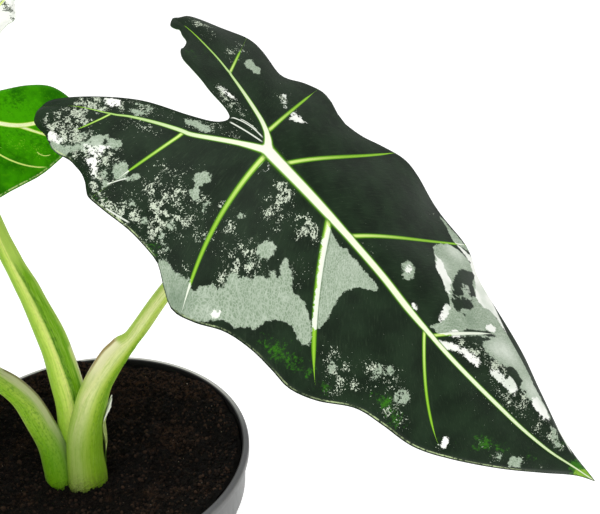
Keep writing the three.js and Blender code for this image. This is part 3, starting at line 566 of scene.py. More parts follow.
greenLeaf = {
    "name": "greenBlade", "node": "blade_green", "slot": "bright_blade",
    "hub": (-36.5, 12, 238), "runs": (-0.722, -0.573, -0.389), "faces": (0.165, -0.688, 0.707),
    "length": 100, "bulge": 6, "bow": 0, "lobeDroop": 0.002, "fallLeft": 16, "fallRight": 16,
    "twist": 0, "wave": 0.6,
    "leftSide": [
        (-53, -36), (-50, -41), (-40, -43), (-28, -41), (-14, -39), (0, -38), (15, -36), (32, -31),
        (50, -24), (68, -15), (84, -7), (95, -2), (100, 0)],
    "rightSide": [
        (-36.6, 19.5), (-35, 25.6), (-30, 29.6), (-20, 31.7), (-10, 33), (0, 32.6), (12, 32), (28, 29),
        (46, 23), (65, 15), (82, 7), (95, 2), (100, 0)],
    "sinus": [
        (-53, -36), (-50.1, -33.2), (-47.3, -29), (-44.8, -25), (-42, -22.6), (-39.4, -22.2), (-35.5, -20.4),
        (-24, -13.5), (-14, -5), (-12, 0), (-18.5, 2),
        (-27.2, 4.6), (-34, 8.5), (-37, 14.6), (-36.6, 19.5)],
    "leftRib": [(0, 0), (-8, -8), (-24, -20), (-40, -30), (-53, -36)],
    "rightRib": [(0, 0), (-10, 12), (-20, 17.5), (-36.6, 19.5)],
    "leftVeins": [(-30, (-28, -41), 0, 0.6, 0.3, 0.9), (0, (8, -37), -0.05, 0.7, 0.3, 0.9),
                  (22, (42, -27), -0.05, 0.6, 0.3, 0.9), (50, (72, -13), -0.05, 0.5, 0.25, 0.9)],
    "rightVeins": [(-21, (-27, 30), 0, 0.6, 0.35, 0.95), (0, (-13, 33), -0.06, 0.5, 0.05, 0.5),
                   (8, (24, 30), 0.04, 0.6, 0.3, 0.9), (36, (58, 18), 0.05, 0.5, 0.25, 0.9)],
    "ribWidths": {
        "mid": [(0, 1.7), (0.3, 1.2), (0.7, 0.7), (1, 0.2)],
        "left": [(0, 1.3), (0.5, 0.7), (1, 0.1)],
        "right": [(0, 1.3), (0.5, 0.8), (0.85, 0.6), (1, 0.4)]},
    "grey": [
        [(20, -30), (23, -26), (29, -25), (31, -21), (37, -20), (41, -23), (45, -22), (47, -28), (40, -33),
         (28, -36)]],
    "white": [
        [(-60, -30), (-52, -24), (-44, -21), (-33, -15), (-30, -13), (-26, -17), (-28, -21), (-24, -25),
         (-29, -29), (-25, -32), (-31, -36), (-27, -40), (-30, -47), (-40, -47), (-56, -45)]],
    "specks": [(18, 107, 6, 0.9), (9, 113, 5, 0.8), (34, 92, 8, 0.3), (10, 141, 10, 0.6), (25, 143, 12, 0.6),
               (40, 149, 12, 0.6), (16, 153, 10, 0.5), (36, 159, 10, 0.5), (8, 172, 12, 0.5),
               (24, 173, 9, 0.4), (-30, 130, 24, 0.5), (-70, 150, 30, 0.5), (-60, 190, 24, 0.6),
               (-120, 190, 30, 0.5)],
    "glow": [(-20, 22, 14, 0.8), (-14, 10, 10, 0.8), (10, 10, 20, 0.6), (30, -10, 20, 0.7),
             (60, 4, 16, 0.6)],
    "inPhoto": ("blots", "bareRim", "paleLines", "specks"),
    "blots": [(2, 1, 6, 0.9), (7, 5, 7, 0.9), (12, 10, 6, 1), (4, 9, 5, 0.7), (15, 17, 5, 1.1),
              (16, 3, 5, 0.8), (10, 16, 4, 0.7), (20, -4, 8, 0.9), (10, -6, 8, 0.7)],
    "bareRim": [(17, 3, 8, 1.5), (14, 14, 9, 1.5), (8, 22, 9, 1.5), (2, 32, 9, 1.5)],
    "paleLines": [([(-14, 146), (14, 162), (49, 166.5)], 0.26),
                  ([(36, 152), (42, 155.5), (51, 154.5)], 0.13)],
    "paleRim": [(-30, 26, 8, 0.7), (-5, 33, 14, 1)],
}

lowLeaf = {
    "name": "lowBlade", "node": "blade_low", "slot": "dark_blade",
    "hub": (-78, -16, 187), "runs": (-0.67, -0.36, -0.65), "faces": (-0.5, -0.35, 0.79),
    "length": 110, "bulge": 9, "bow": 0, "lobeDroop": 0.002, "fallLeft": 22, "fallRight": 22,
    "twist": 0, "wave": 1,
    "leftSide": [
        (-49, -28), (-45, -36), (-34, -40), (-18, -38), (0, -38), (16, -39), (34, -35), (54, -27),
        (74, -18), (92, -9), (104, -3), (110, 0)],
    "rightSide": [
        (-40, 27), (-36, 34), (-28, 38), (-16, 39), (0, 38), (16, 40), (33, 36), (54, 28),
        (74, 18), (92, 9), (104, 3), (110, 0)],
    "sinus": [
        (-49, -28), (-45, -19), (-32, -10), (-17, -4), (-12, 0), (-17, 4), (-28, 10), (-37, 19), (-40, 27)],
    "leftRib": [(0, 0), (-8, -7), (-22, -15), (-49, -28)],
    "rightRib": [(0, 0), (-8, 7), (-22, 15), (-40, 27)],
    "leftVeins": [(-26, (-22, -39), 0, 0.65, 0.35, 0.8), (0, (14, -39), -0.05, 0.9, 0.4, 0.88),
                  (24, (46, -30), -0.05, 0.8, 0.4, 0.88), (54, (78, -16), -0.05, 0.6, 0.35, 0.88)],
    "rightVeins": [(-24, (-20, 39), 0, 0.65, 0.35, 0.8), (0, (14, 39), 0.05, 0.9, 0.4, 0.88),
                   (24, (46, 31), 0.05, 0.8, 0.4, 0.88), (54, (78, 16), 0.05, 0.6, 0.35, 0.88)],
    "ribWidths": {
        "mid": [(0, 1.9), (0.25, 1.4), (0.6, 0.9), (1, 0.2)],
        "left": [(0, 1.5), (0.4, 0.8), (1, 0.1)],
        "right": [(0, 1.5), (0.4, 0.8), (1, 0.1)]},
    "grey": [
        [(22, -34), (26, -26), (34, -24), (40, -16), (48, -14), (54, -20), (50, -28), (40, -38), (26, -42)],
        [(-34, -36), (-30, -28), (-22, -27), (-18, -33), (-24, -42), (-34, -44)],
        [(60, 10), (64, 6), (68, 7), (72, 4), (75, 8), (73, 12), (76, 16), (70, 20), (66, 17), (61, 18),
         (63, 13)]],
    "white": [
        [(36, -36), (38, -31), (42, -30), (44, -26), (49, -27), (52, -24), (50, -32), (42, -38)]],
    "specks": [(30, -20, 12, 0.7), (-24, -24, 10, 0.7), (16, 24, 10, 0.7), (64, 10, 12, 0.7),
               (84, -4, 10, 0.5), (-32, 26, 10, 0.5), (0, -14, 10, 0.4), (44, 12, 8, 0.4)],
    "glow": [(60, -20, 8, 0.7), (-10, -36, 8, 0.6), (30, 32, 8, 0.6), (108, 0, 5, 1.5)],
    "paleRim": [(10, -39, 16, 1), (60, -24, 12, 0.8), (20, 39, 14, 0.8)],
}


def bladeAxes(leaf):
    along = Vector(leaf["runs"]).normalized()
    out = Vector(leaf["faces"])
    out = (out - along * out.dot(along)).normalized()
    return [np.array(v) for v in (leaf["hub"], along, out.cross(along), out)]


def bladeSurface(leaf, a, b):
    # the middle of the blade's thickness over the flat places (a, b)
    hub, along, across, out = bladeAxes(leaf)
    share = a / leaf["length"]
    arch = np.where(a > 0, 4 * share * (1 - share), 0)
    rise = np.where(a > 0, leaf["bulge"] * arch, 4 * leaf["bulge"] * share - leaf["lobeDroop"] * a * a)
    steepness = np.where(b < 0, leaf["fallLeft"], leaf["fallRight"] + leaf["twist"] * np.maximum(a, 0))
    ridge = bladeForm["ridge"]
    fall = np.tan(np.radians(steepness)) * (np.hypot(b, ridge) - ridge)
    wave = leaf["wave"] * (b / 40) ** 2 * np.sin(a / 5 + np.where(b > 0, 1, 0))
    parts = ((along, a), (across, b + leaf["bow"] * arch), (out, rise - fall + wave))
    return hub + sum(amount[:, None] * axis for axis, amount in parts)


def bladeNormals(leaf, a, b, step=0.5):
    alongStep = bladeSurface(leaf, a + step, b) - bladeSurface(leaf, a - step, b)
    acrossStep = bladeSurface(leaf, a, b + step) - bladeSurface(leaf, a, b - step)
    normals = np.cross(alongStep, acrossStep)
    return normals / np.linalg.norm(normals, axis=1)[:, None]


def seenAt(points):
    # where points fall in the photograph, in its pixels
    pitch = math.radians(camera["pitch"])
    rays = points - np.array(camera["place"])
    depth = rays @ np.array([0, math.cos(pitch), -math.sin(pitch)])
    height = rays @ np.array([0, math.sin(pitch), math.cos(pitch)])
    focal = camera["lens"] / camera["sensor"] * camera["width"]
    return np.stack([camera["width"] / 2 + focal * rays[:, 0] / depth,
                     camera["height"] / 2 - focal * height / depth], axis=1)


# a first guess at the leaf's (a, b) for each pixel right of the hub and below it, then how often
# the guess is bettered, how far apart it is tried and how far it may move, in mm
search = {"perPixel": ((0.21, 0.22), (0.21, -0.24)), "rounds": 15, "step": 0.5, "furthest": 12}


def onLeaf(leaf, spots):
    # the leaf's own places (a, b) under spots of the photograph
    spots = np.array(spots, float)
    plan = (spots - seenAt(np.array([leaf["hub"]], float))) @ np.array(search["perPixel"])
    step = search["step"]

    def seen(a, b):
        return seenAt(bladeSurface(leaf, a, b) + bladeNormals(leaf, a, b) * bladeForm["markLift"])

    def areaOf(first, second):
        return first[:, 0] * second[:, 1] - first[:, 1] * second[:, 0]

    for _ in range(search["rounds"]):
        a, b = plan.T
        here = seen(a, b)
        alongStep = seen(a + step, b) - here
        acrossStep = seen(a, b + step) - here
        miss = spots - here
        moves = np.stack([areaOf(miss, acrossStep), areaOf(alongStep, miss)], axis=1)
        moves = moves / areaOf(alongStep, acrossStep)[:, None] * step
        plan = plan + np.clip(moves, -search["furthest"], search["furthest"])
    return plan


patchMarks = ("grey", "white", "dark", "edge")
cloudMarks = ("specks", "glow", "paleRim", "bareRim", "darkRim", "pale", "blots")


def marksOf(leaf):
    # patches, clouds and lines of a leaf in its own plane
    marks = {name: leaf.get(name, []) for name in (*patchMarks, *cloudMarks, "paleLines")}
    for name in leaf.get("inPhoto", ()):
        if name in patchMarks:
            marks[name] = [onLeaf(leaf, patch) for patch in marks[name]]
        elif name in cloudMarks:
            clouds = np.array(marks[name]).reshape(-1, 4)
            clouds[:, :2] = onLeaf(leaf, clouds[:, :2])
            clouds[:, 2] /= camera["pixelsPerMm"]
            marks[name] = clouds
        else:
            marks[name] = [(onLeaf(leaf, line), halfWidth) for line, halfWidth in marks[name]]
    # painted shadow: a patch along the curled-under right margin, which lies in shade
    if "shadedEdge" in leaf:
        inner = onLeaf(leaf, leaf["shadedEdge"])
        marks["edge"] = [np.vstack([inner, inner[::-1] + (0, bladeForm["edgeReach"])])]
    return marks


veinFeet = (-2.1, -1.4, -0.9, -0.45, 0, 0.45, 0.9, 1.4, 2.1)
veinClear = 2.6


def ribStations(length, veinStarts):
    # distances along a rib at which rays leave it: evenly, and closer beside each vein
    marks = set(np.linspace(0, length, max(3, round(length / bladeForm["raySpacing"]) + 1)))
    for start in veinStarts:
        marks -= {mark for mark in marks if abs(mark - start) < veinClear and 0 < mark < length}
        marks |= {start + foot for foot in veinFeet if 0 < start + foot < length}
    return np.array(sorted(marks))


def fanOf(leaf, ribs, first, second, edge, veins):
    outline = curveThrough(leaf[edge])
    lengths = (ribs[first][1][-1], ribs[second][1][-1])
    ends, bows = [(-lengths[0], 0)], [(-lengths[0], 0)]
    for start, place, bow, *_ in veins:
        nearest = np.argmin(np.linalg.norm(outline[0] - np.array(place), axis=1))
        share = outline[1][nearest] / outline[1][-1]
        for side in (-1, 0, 1):
            ends.append((start + side * bladeForm["veinSide"], share + side * bladeForm["veinSideShare"]))
        bows.append((start, bow))
    ends.append((lengths[1], 1))
    bows.append((lengths[1], 0))
    return {"first": first, "second": second, "outline": outline, "lengths": lengths, "ends": ends,
            "bows": bows, "veins": veins}


def rayPoints(fan, ribs, starts, shares):
    # flat places along the rays that leave the ribs at the given starts, one row for each ray
    starts = np.asarray(starts, float)
    roots = np.where((starts < 0)[:, None], pointAt(ribs[fan["first"]], -starts),
                     pointAt(ribs[fan["second"]], starts))
    outline = fan["outline"]
    reached = np.clip(np.interp(starts, *zip(*fan["ends"])), 0, 1)
    tips = pointAt(outline, reached * outline[1][-1])
    aside = np.stack([roots[:, 1] - tips[:, 1], tips[:, 0] - roots[:, 0]], axis=1)
    bow = np.interp(starts, *zip(*fan["bows"])) * 4
    shares = np.asarray(shares, float)
    places = roots[:, None] + (tips - roots)[:, None] * shares[None, :, None]
    return places + aside[:, None] * (bow[:, None] * shares * (1 - shares))[:, :, None]


def layBladePlan(leaf):
    # the blade's flat plan: three fans of rays that share their ribs, welded and given a thickness
    form = bladeForm
    midrib = curveThrough(leaf.get("midrib") or [(0, 0), (leaf["length"] / 2, 0), (leaf["length"], 0)])
    ribs = {"left": curveThrough(leaf["leftRib"]), "right": curveThrough(leaf["rightRib"]), "mid": midrib}
    startsOn = {
        "left": [-v[0] for v in leaf["leftVeins"] if v[0] <= 0],
        "right": [-v[0] for v in leaf["rightVeins"] if v[0] <= 0],
        "mid": [v[0] for v in leaf["leftVeins"] + leaf["rightVeins"] if v[0] >= 0]}
    stations = {name: ribStations(ribs[name][1][-1], startsOn[name]) for name in ribs}
    fans = [fanOf(leaf, ribs, "left", "mid", "leftSide", leaf["leftVeins"]),
            fanOf(leaf, ribs, "right", "mid", "rightSide", leaf["rightVeins"]),
            fanOf(leaf, ribs, "left", "right", "sinus", [])]
    sheets = []
    for number, fan in enumerate(fans):
        starts = np.concatenate([-stations[fan["first"]][:0:-1], stations[fan["second"]]])
        count = form["rings"] if fan["veins"] else form["rings"] * 2 // 3
        even = np.linspace(0, 1, count)
        shares = even - 0.6 * np.sin(2 * math.pi * even) / (2 * math.pi)
        rays = rayPoints(fan, ribs, starts, shares)
        flat = rays.reshape(-1, 2)
        places = np.column_stack([flat, np.zeros(len(flat))])
        sheet = layGrid(leaf["name"] + str(number), count, len(starts), places)
        swell = np.zeros((len(starts), count))
        if fan["veins"]:
            veinStarts = [-fan["lengths"][0], *[v[0] for v in fan["veins"]], fan["lengths"][1]]
            inPanel = np.interp(starts, veinStarts, range(len(veinStarts))) % 1
            swell = np.outer(np.sin(math.pi * inPanel), np.sin(math.pi * shares))
        reach = np.linalg.norm(rays[:, -1] - rays[:, 0], axis=1)
        putAttribute(sheet, "swell", (swell * np.minimum(1, reach / 6)[:, None]).ravel())
        putAttribute(sheet, "veinRun", np.repeat(starts, count))
        putAttribute(sheet, "veinShare", np.tile(shares, len(starts)))
        normalsUp = np.mean([polygon.normal.z * polygon.area for polygon in sheet.data.polygons])
        if normalsUp < 0:
            editWhole(sheet, (bpy.ops.mesh.flip_normals, {}))
        sheets.append(sheet)
    selectOnly(*sheets)
    bpy.ops.object.join()
    blade = nameIt(bpy.context.object, leaf["name"])
    weld(blade, 0.02, outward=False)
    applyModifier(blade, "SOLIDIFY", thickness=form["thickness"] * mm, offset=0)
    return blade, ribs, fans


far = 99.0


def ribsNear(leaf, ribs, plan):
    # how far each place is from a rib, also in half widths of it, and where along that rib it is
    distance, level = np.full((2, len(plan)), far)
    taper, pale = np.zeros((2, len(plan)))
    for name in ("mid", "left", "right"):
        away, share = distanceToLine(ribs[name][0][::6], plan)
        closer = away < distance
        taper[closer] = 1 - share[closer]
        pale[closer] = 1 - share[closer] * (0.35 if name == "mid" else 1.2)
        distance = np.minimum(distance, away)
        level = np.minimum(level, away / np.interp(share, *zip(*leaf["ribWidths"][name])))
    return distance, level, taper, pale


def veinsNear(fans, ribs, plan):
    distance, level = np.full((2, len(plan)), far)
    fade = np.ones(len(plan))
    for fan in fans:
        for start, _, _, wide, thin, reach in fan["veins"]:
            line = rayPoints(fan, ribs, [start], np.linspace(0, 1, 25))[0]
            away, share = distanceToLine(line, plan)
            halfWidth = wide + (thin - wide) * share
            halfWidth *= 1 - smoothStep(share, reach - 0.12, reach + 0.1) * 0.999
            closer = away < distance
            fade[closer] = 1 - share[closer]
            distance = np.minimum(distance, away)
            level = np.minimum(level, away / halfWidth)
    return distance, level, fade


def both(values):
    # the same for the upper face's corners and the lower one's
    return np.concatenate([values, values])


def makeBlade(leaf, material):
    form = bladeForm
    blade, ribs, fans = layBladePlan(leaf)
    flat = getVertices(blade)
    count = len(flat) // 2
    plan = flat[:count, :2]
    a, b = plan[:, 0], plan[:, 1]

    ribDistance, ribLevel, taper, ribPale = ribsNear(leaf, ribs, plan)
    veinDistance, veinLevel, veinFade = veinsNear(fans, ribs, plan)
    rimDistance = np.minimum.reduce([distanceToLine(fan["outline"][0][::4], plan)[0] for fan in fans])

    swell = form["quilt"] * getAttribute(blade, "swell")[:count]
    curl = form["curl"] * (1 - smoothStep(rimDistance, 0, form["curlWidth"]))
    lift = swell - curl * smoothStep(ribDistance, 0.5, 4)
    middle = bladeSurface(leaf, a, b)
    normals = bladeNormals(leaf, a, b)
    thickening = (form["thickness"] - form["rimThickness"]) * smoothStep(rimDistance, 0, 1.5)
    half = (form["rimThickness"] + thickening) / 2
    crest = form["ribCrest"] * taper * np.exp(-(ribDistance / 1.6) ** 4)
    crest += form["veinCrest"] * veinFade * np.exp(-(veinDistance / 0.8) ** 2)
    keel = form["ribKeel"] * taper * np.exp(-(ribDistance / 1.5) ** 2)
    keel += form["veinKeel"] * veinFade * np.exp(-(veinDistance / 1) ** 2)
    top = middle + normals * (lift + half + crest)[:, None]
    bottom = middle + normals * (lift - half - keel)[:, None]
    putVertices(blade, np.vstack([top, bottom]))

    putAttribute(blade, "leafPlace", np.column_stack([both(a), both(b), np.repeat([1.0, -1.0], count)]))
    putAttribute(blade, "ribLevel", both(np.minimum(ribLevel, 20)))
    putAttribute(blade, "ribPale", both(np.clip(ribPale, 0, 1)))
    putAttribute(blade, "veinLevel", both(np.minimum(veinLevel, 20)))
    marks = marksOf(leaf)
    for name in patchMarks:
        putAttribute(blade, name + "Depth", both(depthOfPatches(marks[name], plan)))
    for name in cloudMarks:
        putAttribute(blade, name, both(sumOfClouds(marks[name], plan)))
    putAttribute(blade, "lined", np.full(len(flat), 1.0 if marks["paleLines"] else 0.0))
    putAttribute(blade, "rimDistance", both(rimDistance))
    finishPiece(blade, material, leaf["slot"], leaf["node"], smoothAngle=60)


def lineMask(a, b, line, halfWidth):
    # a thin mark along a shallow curve through three places of the leaf's plane
    start, middle, end = np.array(line)
    length = np.linalg.norm(end - start)
    run = (end - start) / length
    aside = np.array([-run[1], run[0]])
    sag = (middle - (start + end) / 2) @ aside
    share = (a * run[0] + b * run[1] - start @ run) * (1 / length)
    across = a * aside[0] + b * aside[1] - start @ aside
    off = maths("ABSOLUTE", across - share * (1 - share) * (4 * sag))
    return ease(off, halfWidth * 1.3, halfWidth * 0.7) * ease(share, 0, 0.08) * ease(share, 1, 0.85)


class LeafSkin(Skin):
    # a blade's material in the making, with the signals that its parts share
    def __init__(self, name, look, leaf):
        super().__init__(name, look["roughness"], look["specular"])
        self.look = look
        self.paleLines = marksOf(leaf)["paleLines"]
        self.a, self.b, self.side = self.parts(self.read("leafPlace", "Vector"))
        self.flat = self.vector(self.a, self.b)
        self.run = self.read("veinRun")
        self.share = self.read("veinShare")
        self.ribLevel = self.read("ribLevel")
        self.veinLevel = self.read("veinLevel")
        self.specks = self.read("specks")
        self.coarse = self.noise(self.flat, 8, detail=3)
        self.jagged = self.noise(self.flat, 1.5, detail=6, roughness=0.78)
        self.clusters = self.noise(self.flat, 2.6)
        self.grain = self.noise(self.flat, 0.5)
        self.lace = self.noise(self.flat, 0.52, detail=2.5, roughness=0.65, distortion=0.6)
        self.threads = self.noise(self.vector(self.run, self.share * 9), 0.6)
        self.wander = (self.jagged - 0.5) * (self.specks * 4 + 3) + (self.coarse - 0.5) * 1.6
        self.greyness = self.within("greyDepth")

    def within(self, patches):
        # 1 inside the patches, with a ragged edge
        return ease(self.read(patches) + self.wander, 0.15, -0.15)

    def plainBlade(self):
        lamina = blend(ease(self.coarse, 0.3, 0.7), self.look["deep"], self.look["lamina"])
        lamina = blend(ease(self.threads, 0.5, 0.8) * self.look["threadShare"], lamina, self.look["thread"])
        glow = self.read("glow") + (self.jagged - 0.5) * 4
        return blend(ease(glow, 0.5, 1.3) * 0.85, lamina, self.look["glow"])

    def withSpecks(self, lamina):
        rayLace = self.noise(self.vector(self.run, self.share * 14), 0.5, detail=3, roughness=0.65)
        scatter = self.specks * (ease(self.clusters, 0.35, 0.6) * 0.7 + 0.3)
        threshold = 0.76 - maths("MINIMUM", scatter, 1.3) * 0.2
        laces = maths("MAXIMUM", self.lace, rayLace - 0.02)
        speckTone = blend(ease(self.grain, 0.3, 0.5), self.look["greyLight"], self.look["speck"])
        return blend(ease(laces - threshold, -0.015, 0.015), lamina, speckTone)

    def withPatches(self, color, lamina):
        cell = self.vector(self.run + (self.coarse - 0.5) * 3, self.share * 22)
        net = ease(self.cells(cell, 0.5), 0.2, 0.02)
        greyTone = blend(ease(self.grain, 0.3, 0.7), self.look["greyDark"], self.look["greyLight"])
        greyTone = blend(ease(self.coarse, 0.42, 0.62) * 0.5, greyTone, self.look["greyLight"])
        greyTone = blend(net * 0.4, greyTone, self.look["greyThread"])
        greyTone = blend(ease(self.threads, 0.5, 0.72) * 0.4, greyTone, self.look["greyThread"])
        pale = self.read("pale")
        greyTone = blend(pale * -0.8, greyTone, self.look["greyDim"])
        greyTone = blend(pale * (self.jagged * 1.2 + 0.1), greyTone, self.look["whiteShade"])
        whiteTone = blend(ease(self.coarse, 0.4, 0.65), self.look["white"], self.look["whiteShade"])
        color = blend(self.greyness, color, greyTone)
        color = blend(self.within("whiteDepth"), color, whiteTone)
        return blend(self.within("darkDepth"), color, lamina)

    def withHolesAndLines(self, color, lamina):
        holes = maths("MINIMUM", self.specks * ease(self.clusters, 0.62, 0.4), 1.2) * 0.22 - 0.74
        holes = self.noise(self.flat, 0.75, detail=3, roughness=0.75) + holes
        color = blend(ease(holes, -0.015, 0.015), color, lamina)
        lined = self.read("lined")
        for line, halfWidth in self.paleLines:
            color = blend(lineMask(self.a, self.b, line, halfWidth) * lined, color, self.look["streak"])
        blots = self.read("blots") + (self.lace - 0.5) * 2.6
        return blend(ease(blots, 0.95, 1.05), color, self.look["blot"])

    def withVeins(self, color):
        color = blend(ease(self.veinLevel, 1.7, 1) * 0.55, color, self.look["fringe"])
        core = blend(ease(self.share, 0, 0.55), self.look["veinRoot"], self.look["veinCore"])
        veinTone = blend(ease(self.veinLevel, 0.8, 0.3), self.look["veinEdge"], core)
        veinTone = blend(self.greyness * 0.8, veinTone, self.look["white"])
        color = blend(ease(self.veinLevel, 1.12, 0.88), color, veinTone)
        color = blend(ease(self.ribLevel, 1.5, 1) * 0.6, color, self.look["fringe"])
        ribCore = blend(self.read("ribPale"), self.look["veinCore"], self.look["ribCore"])
        ribTone = blend(ease(self.ribLevel, 0.9, 0.6), self.look["veinEdge"], ribCore)
        return blend(ease(self.ribLevel, 1.08, 0.92), color, ribTone)

    def withRim(self, color):
        rimDistance = self.read("rimDistance")
        # painted shade: a thin dark line along the margin for the shaded, curled-down edge; some clouds leave
        # it out, others widen it
        rimShadeShare = ease(self.read("bareRim"), 0.6, 0.3) * 0.85
        color = blend(ease(rimDistance - self.read("darkRim"), 0.4, 0.15) * rimShadeShare, color, self.look["rim"])
        # painted highlight: a thin pale band just inside the margin, where the curled edge catches the light
        highlitBand = ease(rimDistance, 0.3, 0.45) * ease(rimDistance, 0.85, 0.65)
        highlitBand = highlitBand * self.read("paleRim") * ease(self.jagged, 0.42, 0.55)
        color = blend(highlitBand, color, self.look["rimHighlightTone"])
        # painted shadow: the rim tone fills the patch on the curled-under margin
        return blend(ease(self.read("edgeDepth"), 0.2, -0.2), color, self.look["rim"])

    def underside(self):
        under = blend(ease(self.jagged, 0.35, 0.65), self.look["underDark"], self.look["underLight"])
        under = blend(self.greyness * 0.7, under, self.look["greyLight"])
        under = blend(ease(self.veinLevel, 1.3, 0.9), under, self.look["veinRoot"])
        return blend(ease(self.ribLevel, 1.1, 0.9), under, self.look["ribCore"])


def leafMaterial(name, look, leaf):
    skin = LeafSkin(name, look, leaf)
    lamina = skin.plainBlade()
    color = skin.withPatches(skin.withSpecks(lamina), lamina)
    color = skin.withHolesAndLines(color, lamina)
    color = skin.withRim(skin.withVeins(color))
    color = blend(ease(skin.side, -0.2, 0.2), skin.underside(), color)
    skin.bump(skin.threads * 0.7 + skin.grain * 0.5 + skin.coarse * 1.5, look["bump"])
    return skin.paintWith(color)


# in both looks, the rim tone is painted shade along the curled margin and the pale rim tone is a painted
# highlight just inside it
darkLook = {
    "roughness": 0.5, "specular": 0.14, "bump": 0.1, "threadShare": 0.22,
    "deep": paint(10, 27, 10), "lamina": paint(24, 43, 23), "thread": paint(58, 76, 52),
    "glow": paint(50, 116, 4), "speck": paint(204, 214, 192), "blot": paint(126, 172, 44),
    "greyDim": paint(104, 126, 102), "rimHighlightTone": paint(186, 204, 150), "streak": paint(224, 230, 216),
    "greyDark": paint(118, 138, 112), "greyLight": paint(146, 164, 140), "greyThread": paint(200, 212, 194),
    "white": paint(246, 248, 240), "whiteShade": paint(220, 228, 214),
    "fringe": paint(44, 84, 8), "veinEdge": paint(96, 154, 16), "veinCore": paint(146, 196, 52),
    "veinRoot": paint(206, 232, 130), "ribCore": paint(247, 249, 226), "rim": paint(16, 36, 14),
    "underDark": paint(92, 122, 82), "underLight": paint(122, 150, 108),
}

# the green leaf's greens are partly its own colour and partly painted light shining through the blade from
# behind
backlitLook = {
    **darkLook, "specular": 0.03, "threadShare": 0.4, "blot": paint(20, 46, 10),
    "deep": paint(28, 98, 0), "lamina": paint(58, 148, 0), "thread": paint(80, 162, 0),
    "glow": paint(66, 160, 0), "speck": paint(122, 188, 40), "rim": paint(70, 124, 6),
    "greyDark": paint(128, 176, 90), "greyLight": paint(112, 178, 26), "fringe": paint(120, 180, 20),
    "veinEdge": paint(196, 226, 90), "veinCore": paint(232, 244, 160), "veinRoot": paint(242, 248, 204),
    "rimHighlightTone": paint(214, 226, 150), "streak": paint(212, 232, 120), "whiteShade": paint(244, 248, 238),
    "underDark": paint(110, 150, 70), "underLight": paint(140, 176, 96),
}

makeBlade(frontLeaf, leafMaterial("darkLeafSkin", darkLook, frontLeaf))
makeBlade(greenLeaf, leafMaterial("backlitLeafSkin", backlitLook, greenLeaf))
makeBlade(lowLeaf, bpy.data.materials["darkLeafSkin"])

# a stalk is skinned between two shares of its length; its neck meets the blade nearly straight from below
stalkForm = {
    "around": 48, "steps": 130, "lowest": 0.01, "highest": 0.997, "neck": 7, "neckShift": 0.12, "gap": 0.2}

# points run from the seat on the corm to under the hub; sections are (share of length, half width,
# half depth, reach of the sheath's free edge), as the part has them
frontStalk = {
    "name": "frontStalk", "node": "stalk_front", "leaf": frontLeaf,
    "points": [
        (-1, -15, 84), (0, -14, 101), (0, -10.5, 117), (4, -7.5, 133), (8, -6.5, 142), (14.5, -6, 152),
        (22.5, -6.5, 163), (31.5, -8, 177), (44.5, -12, 196), (58.5, -16.5, 218)],
    "wide": (1, 0.25, 0), "sheathSide": -1,
    "sections": [
        (0, 6, 4.5, 0), (0.09, 7.3, 5, 0), (0.18, 6.5, 4.6, 0.3), (0.27, 5.4, 4.2, 0.8),
        (0.34, 4.4, 3.8, 1.6), (0.4, 3.9, 3.4, 2.4), (0.44, 3.4, 3.2, 2), (0.46, 3, 2.9, 0),
        (0.7, 2.6, 2.6, 0), (1, 2.3, 2.3, 0)],
}

backStalk = {
    "name": "backStalk", "node": "stalk_back", "leaf": greenLeaf,
    "points": [
        (-6.5, -7, 84), (-5.5, -7, 100), (-5, -5, 113), (-5.7, -2.5, 129), (-9.4, 0, 149),
        (-15.9, 3, 170), (-22.2, 5, 187), (-30, 8.5, 212)],
    "wide": (1, 0.1, 0), "sheathSide": 1,
    "sections": [
        (0, 5.5, 3.6, 0), (0.1, 6.8, 4.2, 0), (0.3, 5.7, 3.9, 0.5), (0.43, 4.7, 3.5, 1.4),
        (0.56, 3.9, 3.3, 0.7), (0.64, 3.4, 3.1, 0.2), (0.7, 3.1, 2.9, 0), (1, 2.4, 2.4, 0)],
}

lowStalk = {
    "name": "lowStalk", "node": "stalk_low", "leaf": lowLeaf,
    "points": [
        (-9, -14, 84), (-10.5, -13, 99), (-13, -9.5, 112), (-16.5, -7.5, 120), (-22, -5.5, 131),
        (-30, -5.5, 141), (-43, -7, 155), (-60, -11, 171)],
    "wide": (1, 0.3, 0.6), "sheathSide": 1,
    "sections": [
        (0, 4.4, 3.6, 0), (0.13, 5.4, 4, 0), (0.3, 4.6, 3.7, 1), (0.44, 3.8, 3.4, 1.4),
        (0.54, 3.3, 3, 0), (0.8, 2.8, 2.7, 0), (1, 2.3, 2.3, 0)],
}


def stalkPath(stalk):
    hub, _, _, out = bladeAxes(stalk["leaf"])
    last = np.array(stalk["points"][-1], float)
    below = hub - stalkForm["neck"] * out
    below = below + (last - below) * stalkForm["neckShift"]
    return curveThrough([*stalk["points"], below, hub - stalkForm["gap"] * out], evenSteps=False)


